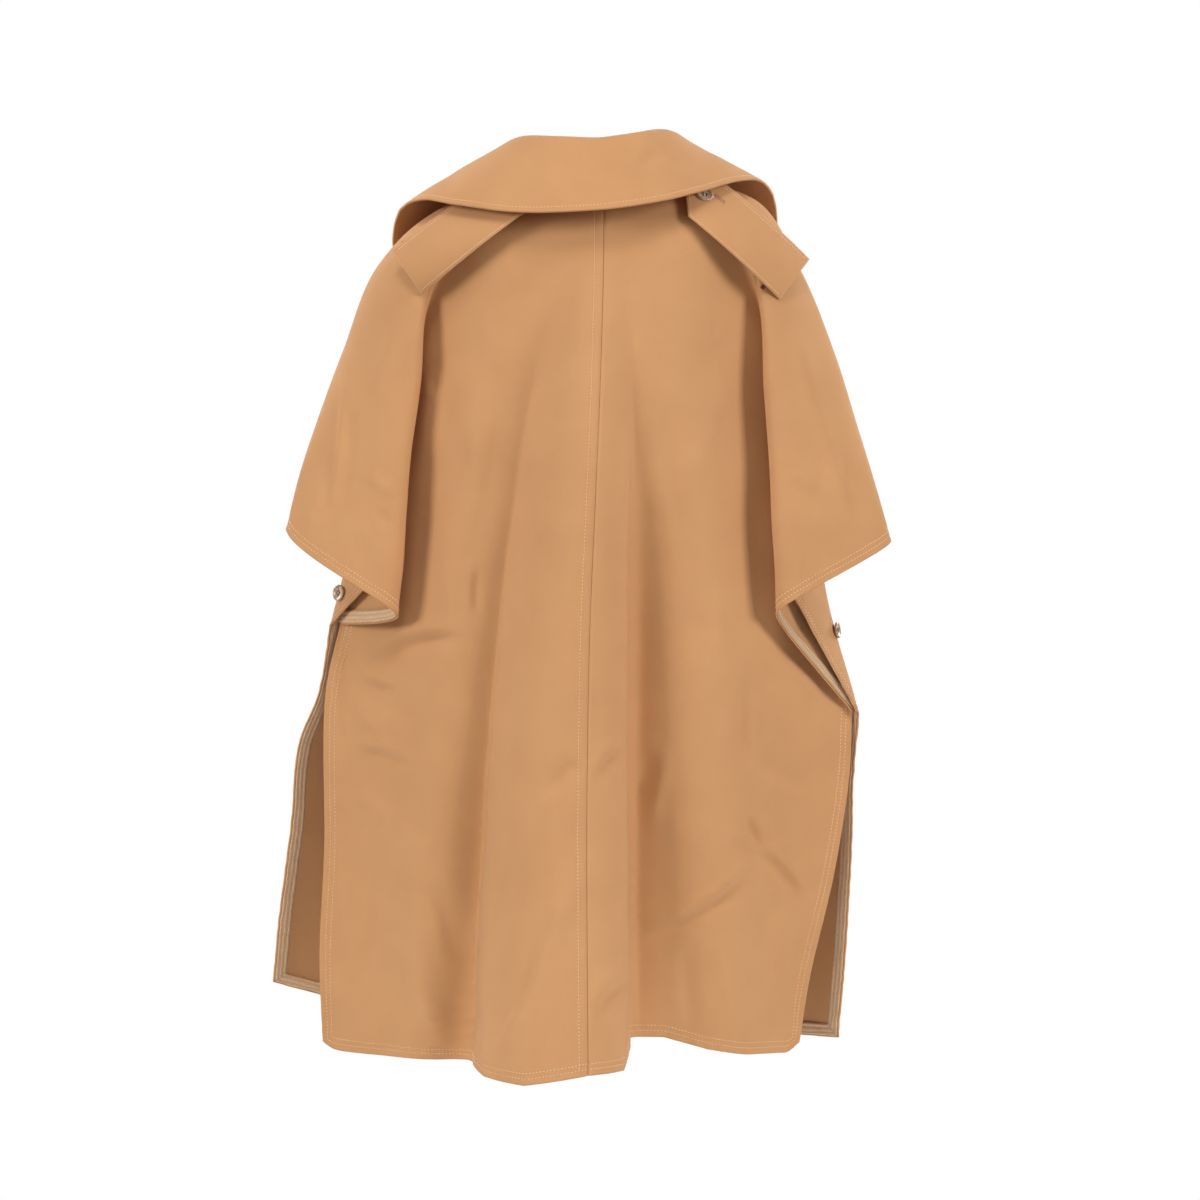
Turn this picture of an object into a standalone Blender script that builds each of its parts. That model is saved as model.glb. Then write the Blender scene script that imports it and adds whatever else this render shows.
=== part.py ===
"""Cape trench coat, hanging filled out with no wearer.

Metres, +Z up, +X to the right of a viewer who faces the coat's back, the back towards -Y.
The origin is inside the neck at shoulder height. Table values are in millimetres.
Each half of the back and of the front is one cloth panel with its cape sleeve cut in one.
Past the body's side line the cloth turns in at the tuck line and out again to the overarm seam.
"""

import bmesh
import bpy
import numpy as np
from mathutils import Vector
from mathutils.bvhtree import BVHTree

MM = 0.001
CLOTH = 1.5          # gabardine with its turned edges, mm
SEAM_GAP = 0.3       # between pieces that are sewn together
TAPE_WIDTH = 13.0
TAPE_CLOTH = 0.8
TAPE_CLEAR = 0.4     # between the tape and the wall it is sewn to
STRAP_CLEAR = 0.5    # between a strap and the cloth it is buttoned to
SHANK = 1.1          # a side button stands this far off its cloth on its thread
COLLAR_CLOTH = 2.4   # two layers
STRAP_CLOTH = 2.4    # two layers
STRAP_WIDTH = 50.0
STRAP_POINT = 24.0
LAP_STEP = 6.0       # the right front stands this far outside the left one
SLEEVE_BOW = {"left": 10.0, "right": 4.0}  # the sleeve end sags below a straight line
LAP_HALF = 32.0      # each front reaches this far past the centre
BODY_BELL = {"back": (2.0, 1.4), "front": (3.0, 1.0)}  # how the body falls back to its sides
NECK_FALL = 0.55     # how softly it falls back at the neck edge
NECK_DEPTH = 80.0    # from there to where the body's own fall holds
EDGE_PULL = {"back": -10.0, "front": -34.0}  # how the body runs into the turn at its side line
OVERARM_CLEAR = 0.59  # from the overarm seam to each layer: half the gap and what the bend takes
FOLD_CLEAR = 14.0    # least distance from the centre edge to a marked line of the fold
BOW_PEAK = 27 / 4    # brings the largest value of f * f * (1 - f) to 1
OUTSIDE = 0.6        # metres from the origin, where a line of sight onto the cloth starts

# How the cloth turns, front to back: into and out of the side line, into the tuck line, out of it,
# and over the arm into the seam; last, over the arm where the sleeve has no fold yet.
TURN_PULLS = {
    "back": (-16.0, -18.0, -96.0, 64.0, 18.0),
    "front": (-14.0, -12.0, -10.0, -108.0, -18.0),
}
TUCK_RISE = {"back": 30.0, "front": 0.0}  # how steeply the cloth climbs as it passes the tuck line

# The centre line drifts sideways down the back.
SEAM = (  # z, x
    (40, 12), (-45, 13), (-150, 11), (-280, 6), (-391, 1), (-545, -2), (-820, -1),
)

# Depth of each face on the centre line, without its folds.
BASE = {  # z, y
    "back": (
        (40, -66), (0, -72), (-45, -84), (-110, -92), (-200, -96),
        (-300, -94), (-450, -88), (-600, -82), (-820, -76),
    ),
    "front": (
        (40, 55), (-45, 82), (-110, 104), (-200, 114), (-320, 113),
        (-450, 112), (-600, 116), (-820, 124),
    ),
}

# Panel guide lines from the neck (t 0) to the sleeve end (t 1): the height of the centre line, then
# x, y, z of the body's side line, of the tuck line and of the overarm seam. turn is 1 where the
# cloth doubles back at the side line and the tuck line.
UPPER = {  # t, turn, centre_z, side, tuck, over
    ("back", "left"): (
        (0.00, 0.0, -4, (-68, -20, 15), (-70, -10, 19), (-71, 0, 21)),
        (0.12, 0.0, -45, (-111, -62, -28), (-129, -48, -20), (-145, -22, -13)),
        (0.27, 0.6, -108, (-150, -40, -99), (-151, -53, -93), (-201, -2, -62)),
        (0.45, 1.0, -186, (-181, -16, -177), (-157, -54, -175), (-234, -6, -143)),
        (0.63, 1.0, -266, (-200, -10, -249), (-166, -56, -245), (-257, -14, -207)),
        (0.82, 1.0, -350, (-218, -8, -333), (-172, -58, -329), (-274, -26, -262)),
        (1.00, 1.0, -430, (-236, -6, -403), (-178, -58, -395), (-285, -38, -312)),
    ),
    ("back", "right"): (
        (0.00, 0.0, -4, (93, -20, 15), (95, -10, 19), (96, 0, 21)),
        (0.12, 0.0, -45, (121, -62, -22), (140, -48, -13), (158, -22, -4)),
        (0.27, 0.6, -108, (158, -40, -99), (157, -53, -92), (199, -4, -65)),
        (0.45, 1.0, -186, (184, -16, -196), (162, -54, -179), (231, -6, -143)),
        (0.63, 1.0, -266, (201, -10, -285), (167, -56, -259), (253, -14, -215)),
        (0.82, 1.0, -350, (217, -8, -385), (171, -58, -343), (270, -26, -274)),
        (1.00, 1.0, -430, (248, -6, -486), (173, -58, -393), (283, -38, -324)),
    ),
    ("front", "left"): (
        (0.00, 0.0, -45, (-68, 21, 13), (-70, 10, 18), (-71, 0, 21)),
        (0.12, 0.0, -80, (-136, 40, -32), (-144, 10, -20), (-145, -22, -13)),
        (0.27, 0.1, -131, (-193, 42, -84), (-200, 20, -72), (-201, -2, -62)),
        (0.45, 1.0, -200, (-207, -2, -170), (-184, -42, -160), (-234, -6, -143)),
        (0.63, 1.0, -272, (-214, -11, -245), (-177, -57, -228), (-257, -14, -207)),
        (0.82, 1.0, -352, (-228, -11, -332), (-182, -59, -292), (-274, -26, -262)),
        (1.00, 1.0, -430, (-246, -9, -404), (-189, -58, -345), (-285, -38, -312)),
    ),
    ("front", "right"): (
        (0.00, 0.0, -45, (93, 21, 13), (95, 10, 18), (96, 0, 21)),
        (0.12, 0.0, -80, (148, 40, -26), (156, 10, -12), (158, -22, -4)),
        (0.27, 0.1, -131, (190, 42, -86), (198, 20, -74), (199, -4, -65)),
        (0.45, 1.0, -200, (206, -2, -186), (186, -42, -165), (231, -6, -143)),
        (0.63, 1.0, -272, (213, -11, -278), (178, -57, -240), (253, -14, -215)),
        (0.82, 1.0, -352, (225, -11, -380), (182, -59, -312), (270, -26, -274)),
        (1.00, 1.0, -430, (255, -9.5, -488), (185, -60, -368), (283, -38, -324)),
    ),
}

# Below the underarm corner: the centre line's height and the free side edge, down to the hem.
LOWER = {  # t, turn, centre_z, side
    ("back", "left"): (
        (0.0, 1.0, -430, (-236, -6, -403)),
        (0.2, 0.2, -505, (-251, 0, -466)),
        (0.5, 0.0, -610, (-253, 4, -613)),
        (0.8, 0.0, -722, (-257, 2, -727)),
        (1.0, 0.0, -806, (-254, 0, -800)),
    ),
    ("back", "right"): (
        (0.0, 1.0, -430, (248, -6, -486)),
        (0.2, 0.2, -505, (247, 0, -540)),
        (0.5, 0.0, -610, (232, 4, -641)),
        (0.8, 0.0, -722, (208, 2, -742)),
        (1.0, 0.0, -806, (199, 0, -796)),
    ),
    ("front", "left"): (
        (0.00, 1.0, -430, (-246, -9, -404)),
        (0.17, 0.2, -495, (-258, 10, -466)),
        (0.33, 0.0, -555, (-279, 26, -515)),
        (0.55, 0.0, -635, (-288, 34, -598)),
        (0.80, 0.0, -728, (-300, 41, -684)),
        (1.00, 0.0, -808, (-306, 44, -748)),
    ),
    ("front", "right"): (
        (0.0, 1.0, -430, (255, -9.5, -488)),
        (0.2, 0.2, -505, (252, 12, -545)),
        (0.5, 0.0, -610, (251, 28, -625)),
        (0.8, 0.0, -722, (245, 36, -728)),
        (1.0, 0.0, -808, (239, 40, -801)),
    ),
}

# Height of the back's hem along its width; the front's hem runs straight between its corners.
HEM = (  # x, z
    (-254, -799), (-246, -807), (-170, -808), (-112, -809), (-98, -816), (-60, -820),
    (-1, -811), (31, -810), (40, -786), (70, -787), (110, -799), (145, -806),
    (186, -809), (199, -800),
)

# The wide fold down the middle of the back: its feet and crest, how softly it rises, how far out.
FLARE = (  # z, left, crest, right, softness, height
    (0, -22, 8, 36, 2.0, 0),
    (-75, -28, 6, 38, 2.0, 5),
    (-129, -40, 2, 40, 1.6, 13),
    (-191, -54, -2, 40, 1.2, 23),
    (-307, -72, -8, 41, 0.9, 34),
    (-426, -85, -18, 42, 0.65, 41),
    (-545, -95, -26, 41, 0.5, 49),
    (-649, -101, -34, 41, 0.42, 57),
    (-728, -105, -40, 41, 0.38, 64),
    (-820, -109, -46, 40, 0.36, 72),
)

# Softer folds: where the crest lies at the top and at the hem, its width, its height at both ends.
RIPPLES = {  # top_z, top_x, low_z, low_x, width, top_height, low_height
    "back": (
        (-90, -103, -800, -165, 46, 9, 17),
        (-90, 92, -800, 137, 46, 9, 15),
        (-150, -50, -800, -122, 20, -6, -9),
        (-300, 46, -800, 62, 18, -5, -10),
        (-560, -205, -800, -222, 24, 0, 8),
    ),
    "front": (
        (-160, -105, -810, -150, 48, 6, 24),
        (-160, 112, -810, 140, 48, 6, 22),
        (-330, -20, -810, -30, 55, 0, 10),
    ),
}

# How the collar leaves the neck edge, leans and rises into its roll, leaves the roll and falls.
STAND_OUT, STAND_RISE = 12.0, 22.0
ROLL_IN, ROLL_OUT, ROLL_DROP = 14.0, 16.0, 1.0
FALL_SHARE, FALL_DROP = 0.85, 10.0
COLLAR_CLEAR = SEAM_GAP + 0.3

# Round the neck from the left front end over the back to the right front end.
COLLAR = (  # share of the neck edge from the back's centre, roll, edge
    (-1.00, (-14, 100, -46), (-92, 132, -122)),
    (-0.87, (-48, 92, -24), (-138, 106, -100)),
    (-0.70, (-80, 58, 14), (-170, 66, -72)),
    (-0.52, (-91, 6, 37), (-188, 18, -38)),
    (-0.42, (-88, -18, 40), (-179, -14, -13)),
    (-0.32, (-80, -38, 45), (-157, -48, -7)),
    (-0.22, (-64, -58, 50), (-124, -80, -15)),
    (-0.11, (-32, -78, 47), (-68, -106, -25)),
    (0.00, (10, -86, 45), (6, -114, -24)),
    (0.11, (46, -78, 51), (62, -108, -16)),
    (0.22, (72, -56, 56), (104, -84, -3)),
    (0.32, (86, -34, 52), (136, -52, 10)),
    (0.42, (92, -12, 49), (160, -18, 15)),
    (0.52, (96, 12, 46), (174, 18, 6)),
    (0.70, (96, 58, 20), (178, 66, -42)),
    (0.87, (70, 92, -20), (152, 106, -86)),
    (1.00, (38, 100, -46), (114, 132, -122)),
)

# Straps: lower outer corner in x, z; directions of length and of width in the same plane; length
# from the outer end to the corners of the point, as seen from behind.
STRAPS = {
    "left": ((-156, -95), (0.806, 0.591), (-0.567, 0.824), 122),
    "right": ((176, -99), (-0.762, 0.647), (0.60, 0.80), 112),
}

EPAULETTE_BUTTON = (16.5, 3.2)  # diameter, thickness
SIDE_BUTTON_SIZE = (15.5, 3.0)
FRONT_BUTTON = (20.0, 3.6)
FRONT_BUTTON_Z = (-105, -225, -345, -465)
SIDE_BUTTON = {  # t down the sleeve, distance from the side line, lean of its face
    "left": (0.93, 6.0, (-0.1, 0.0, 0.1)),
    "right": (0.87, 1.0, (0.9, 0.0, 0.2)),
}


def clear_scene():
    for obj in list(bpy.data.objects):
        bpy.data.objects.remove(obj, do_unlink=True)


def collection(name):
    made = bpy.data.collections.new(name)
    bpy.context.scene.collection.children.link(made)
    return made


def material(name, colour, roughness):
    made = bpy.data.materials.new(name)
    made.use_nodes = True
    shader = made.node_tree.nodes["Principled BSDF"]
    shader.inputs["Base Color"].default_value = (*colour, 1.0)
    shader.inputs["Roughness"].default_value = roughness
    return made


def smooth(keys, values, at):
    """A curve through the rows of a table, held at its ends."""
    keys = np.asarray(keys, float)
    values = np.asarray(values, float)
    if keys[0] > keys[-1]:
        keys, values = keys[::-1], values[::-1]
    slope = np.gradient(values, keys, axis=0)
    at = np.clip(np.asarray(at, float), keys[0], keys[-1])
    i = np.clip(np.searchsorted(keys, at) - 1, 0, len(keys) - 2)
    step = keys[i + 1] - keys[i]
    f = (at - keys[i]) / step
    if values.ndim > 1:
        f, step = f[..., None], step[..., None]
    return (
        values[i] * (1 + 2 * f) * (1 - f) ** 2
        + slope[i] * step * f * (1 - f) ** 2
        + values[i + 1] * f**2 * (3 - 2 * f)
        + slope[i + 1] * step * f**2 * (f - 1)
    )


def hermite(start, start_pull, end, end_pull, steps):
    f = np.linspace(0, 1, steps + 1)[:, None]
    return (
        start * (1 + 2 * f) * (1 - f) ** 2
        + start_pull * f * (1 - f) ** 2
        + end * f**2 * (3 - 2 * f)
        + end_pull * f**2 * (f - 1)
    )


def arc(line):
    steps = np.linalg.norm(np.diff(line, axis=0), axis=1)
    return np.concatenate([[0], np.cumsum(steps)])


def along(line, distances):
    """Points of a line at the given distances from its start."""
    length = arc(line)
    return np.stack([np.interp(distances, length, line[:, k]) for k in range(3)], axis=1)


def spread(line, fractions):
    return along(line, arc(line)[-1] * np.asarray(fractions))


def ease(f):
    f = np.clip(f, 0, 1)
    return f * f * (3 - 2 * f)


def seam_x(z):
    return smooth([r[0] for r in SEAM], [r[1] for r in SEAM], z)


def fold_height(face, x, z):
    total = np.zeros_like(x)
    for top_z, top_x, low_z, low_x, width, top_h, low_h in RIPPLES[face]:
        f = (z - top_z) / (low_z - top_z)
        crest = top_x + (low_x - top_x) * f
        height = (top_h + (low_h - top_h) * np.clip(f, 0, 1)) * ease(f * 4 + 1)
        total += height * np.exp(-(((x - crest) / width) ** 2))
    if face == "back":
        rows = np.array(FLARE, float)
        left, crest, right, softness, height = smooth(rows[:, 0], rows[:, 1:], z).T
        off = np.where(x < crest, (crest - x) / (crest - left), (x - crest) / (right - crest))
        total += height * np.clip(1 - off**2, 0, 1) ** softness
    return total


def body_line(face, half, centre_z, side, turn, down=0.0, steps=90):
    """One level of the body, from the centre edge out to the side line; down is 1 at the hem."""
    sign = -1 if half == "left" else 1
    middle = float(seam_x(centre_z))
    start = middle + sign * SEAM_GAP / 2 if face == "back" else middle - sign * LAP_HALF
    x = np.linspace(start, side[0], steps + 1)
    s = np.abs(x - middle) / abs(side[0] - middle)
    z = centre_z + (side[2] - centre_z) * s**2
    if face == "back":
        last_z, last_side = LOWER[(face, half)][-1][2:]
        plain = last_z + (last_side[2] - last_z) * s**2
        z += (np.interp(x, *np.array(HEM, float).T) - plain) * ease((down - 0.4) / 0.6)
    base = smooth([r[0] for r in BASE[face]], [r[1] for r in BASE[face]], z)
    power, fall = BODY_BELL[face]
    below_neck = ease((UPPER[(face, half)][0][2] - centre_z) / NECK_DEPTH)
    fall = NECK_FALL + (fall - NECK_FALL) * below_neck
    y = side[1] + (base - side[1]) * np.clip(1 - s**power, 0, 1) ** fall
    outward = -1 if face == "back" else 1
    y += outward * fold_height(face, x, z) * (1 - s**10)
    if face == "front" and half == "right":
        y += LAP_STEP * ease((middle + 100 - x) / 60)
    line = np.stack([x, y, z], axis=1)
    cut = int(steps * 0.93)
    pull = (line[cut] - line[cut - 2]) * (steps - cut) / 2
    last = line[-1] - line[-2]
    fold_pull = np.array([0.0, EDGE_PULL[face], 0.0])
    end_pull = last * (steps - cut) * (1 - turn) + fold_pull * turn
    return np.concatenate([line[:cut], hermite(line[cut], pull, line[-1], end_pull, 14)])


def sleeve_lines(face, side, tuck, over, turn, bow=0.0):
    """The returning layer from the side line to the tuck line, then the outer layer to the seam."""
    side, tuck, over = (np.array(p, float) for p in (side, tuck, over))
    pulls = [np.array([0.0, pull, 0.0]) for pull in TURN_PULLS[face]]
    side_pull, tuck_pull, outer_pull, over_pull, flow_over = pulls
    tuck_pull[2] = outer_pull[2] = TUCK_RISE[face]
    flow_side = (tuck - side) * 0.9
    flow_tuck = (over - side) * 0.5
    first = hermite(
        side,
        side_pull * turn + flow_side * (1 - turn),
        tuck,
        tuck_pull * turn + flow_tuck * (1 - turn),
        40,
    )
    second = hermite(
        tuck,
        outer_pull * turn + flow_tuck * (1 - turn),
        over,
        over_pull * turn + flow_over * (1 - turn),
        60,
    )
    f = np.linspace(0, 1, len(second))
    second[:, 1] += (-1 if face == "back" else 1) * OVERARM_CLEAR * f**2
    second[:, 2] -= bow * BOW_PEAK * f**2 * (1 - f)
    return first, second


def guides(face, half, t):
    rows = UPPER[(face, half)]
    keys = [r[0] for r in rows]
    flat = [[r[1], r[2], *r[3], *r[4], *r[5]] for r in rows]
    v = smooth(keys, flat, np.array([t]))[0]
    return np.clip(v[0], 0, 1), v[1], v[2:5], v[5:8], v[8:11]


def lower_guides(face, half, t):
    rows = LOWER[(face, half)]
    v = smooth([r[0] for r in rows], [[r[1], r[2], *r[3]] for r in rows], np.array([t]))[0]
    return np.clip(v[0], 0, 1), v[1], v[2:5]


def body_points(line, face, half, body_at):
    """Columns of the body: from one marked line to the next, then two beside the side line."""
    length = arc(line)
    full = length[-1]
    inner = full - EDGE_AT[-1]
    marks = [0.0, inner]
    if face == "back":
        rows = np.array(FLARE, float)
        left, crest, right = smooth(rows[:, 0], rows[:, 1:4], line[0, 2])
        lines = (crest, left) if half == "left" else (right,)
        sign = -1 if half == "left" else 1
        places = [np.interp(sign * x, sign * line[:, 0], length) for x in lines]
        marks[1:1] = [max(place, FOLD_CLEAR) for place in places]
    at = np.interp(body_at, np.arange(len(marks)), marks)
    at[0] = 0.0
    if face == "back":
        at[1] = SUPPORT
    return along(line, [*at, full - EDGE_AT[0], full])


def panel_lines(face, half, upper_at, lower_at, body_at, first_at, second_at):
    """Two grids of points: the body from neck to hem, the sleeve from neck to sleeve end."""
    body, sleeve = [], []
    for t in upper_at:
        turn, centre_z, side, tuck, over = guides(face, half, t)
        body.append(body_points(body_line(face, half, centre_z, side, turn), face, half, body_at))
        bow = SLEEVE_BOW[half] * ease((t - 0.5) / 0.5)
        first, second = sleeve_lines(face, side, tuck, over, turn, bow)
        row = [spread(first, first_at), spread(second, second_at)[1:]]
        sleeve.append(np.concatenate(row))
    for t in lower_at[1:]:
        turn, centre_z, side = lower_guides(face, half, t)
        line = body_line(face, half, centre_z, side, turn, t)
        body.append(body_points(line, face, half, body_at))
    return np.array(body), np.array(sleeve)


def mesh_object(name, points, faces, home, look):
    mesh = bpy.data.meshes.new(name)
    mesh.from_pydata([tuple(p) for p in np.asarray(points) * MM], [], faces)
    mesh.validate()
    obj = bpy.data.objects.new(name, mesh)
    obj.data.materials.append(look)
    home.objects.link(obj)
    return obj


def halves(quad, flip):
    a, b, c, d = quad
    pair = ((a, b, c), (a, c, d))
    return [t[::-1] for t in pair] if flip else list(pair)


def grid_faces(rows, columns, flip=False):
    faces = []
    for r in range(rows - 1):
        for c in range(columns - 1):
            a = r * columns + c
            faces += halves((a, a + columns, a + columns + 1, a + 1), flip)
    return faces


def thicken(obj, thickness, outward=False):
    shell = obj.modifiers.new("cloth", "SOLIDIFY")
    shell.thickness = thickness * MM
    shell.offset = 1.0 if outward else -1.0
    shell.use_even_offset = False
    shell.use_quality_normals = False
    return obj


# Where the rows and columns of a panel lie; the last ones follow the tape over its edges.
UPPER_AT = (0, 0.035, 0.08, 0.13, 0.19, 0.26, 0.33, 0.41, 0.5, 0.6, 0.7, 0.8, 0.89, 0.965, 1.0)
LOWER_AT = (0, 0.09, 0.19, 0.3, 0.42, 0.54, 0.66, 0.78, 0.89, 0.966, 1.0)
SUPPORT = 1.5        # second column beside the centre-back seam, mm
BODY_AT = {
    ("back", "left"): (
        0, 0, 0.4, 0.7, 1, 1.3, 1.6, 1.85, 2, 2.1, 2.22, 2.36, 2.52, 2.68, 2.84, 3,
    ),
    ("back", "right"): (
        0, 0, 0.35, 0.65, 0.85, 1, 1.08, 1.18, 1.3, 1.42, 1.54, 1.66, 1.78, 1.89, 2,
    ),
    ("front", "left"): np.linspace(0, 1, 12),
    ("front", "right"): np.linspace(0, 1, 12),
}
EDGE_AT = (7.0, TAPE_WIDTH)  # from the side line back onto the body, mm
FIRST_AT = (0, 0.07, 0.2, 0.5, 0.8, 0.93, 1.0)
SECOND_AT = (0, 0.05, 0.12, 0.25, 0.42, 0.6, 0.78, 0.9, 0.965, 0.994, 1.0)


def build_panel(face, half, home, look):
    body, sleeve = panel_lines(
        face, half, UPPER_AT, LOWER_AT, BODY_AT[(face, half)], FIRST_AT, SECOND_AT
    )
    flip = (half == "left") == (face == "back")
    rows, columns = body.shape[:2]
    faces = grid_faces(rows, columns, flip=flip)
    first = rows * columns
    more = sleeve.shape[1] - 1

    def corner(row, column):
        if column == 0:
            return row * columns + columns - 1
        return first + row * more + column - 1

    for r in range(len(sleeve) - 1):
        for c in range(more):
            quad = (corner(r, c), corner(r + 1, c), corner(r + 1, c + 1), corner(r, c + 1))
            faces += halves(quad, flip)
    points = np.concatenate([body.reshape(-1, 3), sleeve[:, 1:].reshape(-1, 3)])
    obj = mesh_object(f"{face}_{half}", points, faces, home, look)
    thicken(obj, CLOTH)
    return obj, body, sleeve, (rows, columns, more)


def unit(vectors):
    return vectors / np.linalg.norm(vectors, axis=-1, keepdims=True)


def build_tape(face, half, panel, rows, columns, more, home, look):
    """The tape over the turned edges: the panel's own outermost faces, moved in past its wall."""
    top = len(UPPER_AT) - 1
    first = 1 if face == "back" else 0
    wanted = {(r, c) for r in range(top - 1, rows - 1) for c in (columns - 3, columns - 2)}
    wanted |= {(rows - 2, c) for c in range(first, columns - 1)}
    wanted = {r * (columns - 1) + c for r, c in wanted}
    sleeve = (rows - 1) * (columns - 1)
    wanted |= {sleeve + (top - 1) * more + c for c in range(more - 2)}
    wanted = {2 * i + n for i in wanted for n in (0, 1)}
    source = panel.data
    used = sorted({v for i in wanted for v in source.polygons[i].vertices})
    index = {v: n for n, v in enumerate(used)}
    faces = [[index[v] for v in source.polygons[i].vertices] for i in sorted(wanted)]
    inset = CLOTH + TAPE_CLEAR
    points = [
        source.vertices[v].co / MM - source.vertex_normals[v].vector * inset for v in used
    ]
    obj = mesh_object(f"tape_{face}_{half}", points, faces, home, look)
    return thicken(obj, TAPE_CLOTH)


def build_collar(panels, home, look):
    """Stand and fall in one, sewn to the neck edge of the four panels."""
    sides = {}
    for half in ("left", "right"):
        back_body, back_sleeve = panels[("back", half)]
        front_body, front_sleeve = panels[("front", half)]
        neck = [back_body[0], back_sleeve[0], front_sleeve[0][::-1], front_body[0][::-1]]
        neck = np.concatenate(neck)
        sides[half] = along(neck, np.linspace(0, arc(neck)[-1] - LAP_HALF, 60))
    share = np.linspace(-1, 1, 31)
    keys = [r[0] for r in COLLAR]
    rolls = smooth(keys, [r[1] for r in COLLAR], share)
    edges = smooth(keys, [r[2] for r in COLLAR], share)
    columns = []
    for f, roll, edge in zip(share, rolls, edges):
        side = sides["left" if f < 0 else "right"]
        neck = spread(side, [abs(f)])[0] + (0, 0, COLLAR_CLEAR)
        out = edge - roll
        out[2] = 0
        out = unit(out)
        lean = unit(roll - neck) * STAND_OUT + (0, 0, STAND_RISE)
        stand = hermite(neck, lean, roll, out * ROLL_IN, 4)
        pull = out * ROLL_OUT - (0, 0, ROLL_DROP)
        drop = (edge - roll) * FALL_SHARE - (0, 0, FALL_DROP)
        fall = hermite(roll, pull, edge, drop, 7)
        columns.append(np.concatenate([stand, fall[1:]]))
    columns = np.array(columns)
    faces = grid_faces(*columns.shape[:2])
    obj = mesh_object("collar", columns.reshape(-1, 3), faces, home, look)
    return thicken(obj, COLLAR_CLOTH)


def depth_on(tree, x, z, side=-1):
    """Depth of the coat's surface seen from the back (side -1) or from the front (side 1)."""
    start = Vector((x * MM, side * OUTSIDE, z * MM))
    hit = tree.ray_cast(start, Vector((0, -side, 0)))[0]
    return None if hit is None else hit.y / MM


def seat_on(tree, x, z, side, radius):
    """Where a button of this radius rests on the cloth, and the way it faces."""
    turns = np.linspace(0, 2 * np.pi, 13)[:-1]
    spots = [(x, z)] + [(x + radius * np.cos(a), z + radius * np.sin(a)) for a in turns]
    spots = np.array([(u, depth_on(tree, u, w, side), w) for u, w in spots])
    terms = np.stack([spots[:, 0] - x, spots[:, 2] - z, np.ones(len(spots))], axis=1)
    tilt = np.linalg.lstsq(terms, spots[:, 1], rcond=None)[0]
    normal = unit(np.array([-tilt[0], 1.0, -tilt[1]])) * side
    centre = np.array([x, tilt[2], z])
    return centre + normal * (np.max((spots - centre) @ normal) + SEAM_GAP), normal


def tree_of(objects):
    points, faces = [], []
    for obj in objects:
        first = len(points)
        points.extend(v.co.copy() for v in obj.data.vertices)
        faces.extend([first + i for i in p.vertices] for p in obj.data.polygons)
    return BVHTree.FromPolygons(points, faces)


def bend(a, b):
    a, b = np.asarray(a) / 100, np.asarray(b) / 100
    return np.stack([np.ones_like(a), a, b, a * a, a * b, b * b], axis=-1)


def strap_grid(reach, lengthwise, widthwise):
    """Distances along and across a strap with a pointed inner end."""
    b = np.asarray(widthwise) * STRAP_WIDTH
    reach = reach + STRAP_POINT * (1 - np.abs(b / STRAP_WIDTH - 0.5) * 2)
    a = np.asarray(lengthwise)[:, None] * reach[None, :]
    return a, np.broadcast_to(b, a.shape)


def build_strap(half, tree, home, look):
    """A doubled strap that bends over the shoulder just clear of the cloth below it."""
    corner, length, width = (np.array(v, float) for v in STRAPS[half][:3])
    reach = STRAPS[half][3]
    length, width = unit(length), unit(width)

    def flat(a, b):
        return corner + a[..., None] * length + b[..., None] * width

    a, b = strap_grid(reach, np.linspace(0, 1, 40), np.linspace(0, 1, 15))
    found = [depth_on(tree, x, z) for x, z in flat(a, b).reshape(-1, 2)]
    hit = np.array([y is not None for y in found])
    seen = np.array([y for y in found if y is not None])
    terms = bend(a.ravel(), b.ravel())[hit]
    share = np.linalg.lstsq(terms, seen, rcond=None)[0]
    share[0] -= np.max(terms @ share - seen) + STRAP_CLEAR
    a, b = strap_grid(reach, np.linspace(0, 1, 12), np.linspace(0, 1, 7))
    y = bend(a, b) @ share
    place = flat(a, b)
    points = np.stack([place[..., 0], y, place[..., 1]], axis=-1).reshape(-1, 3)
    faces = grid_faces(12, 7, flip=half == "right")
    obj = mesh_object(f"epaulette_{half}", points, faces, home, look)
    thicken(obj, STRAP_CLOTH, outward=True)
    a, b = np.array([reach, reach + 1, reach]), np.array([0.5, 0.5, 0.52])
    b = b * STRAP_WIDTH
    y = bend(a, b) @ share
    place = flat(a, b)
    at = np.stack([place[:, 0], y, place[:, 1]], axis=1)
    normal = unit(np.cross(at[1] - at[0], at[2] - at[0]))
    normal *= -np.sign(normal[1])
    return obj, at[0] + normal * (STRAP_CLOTH + SEAM_GAP), normal


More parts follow.
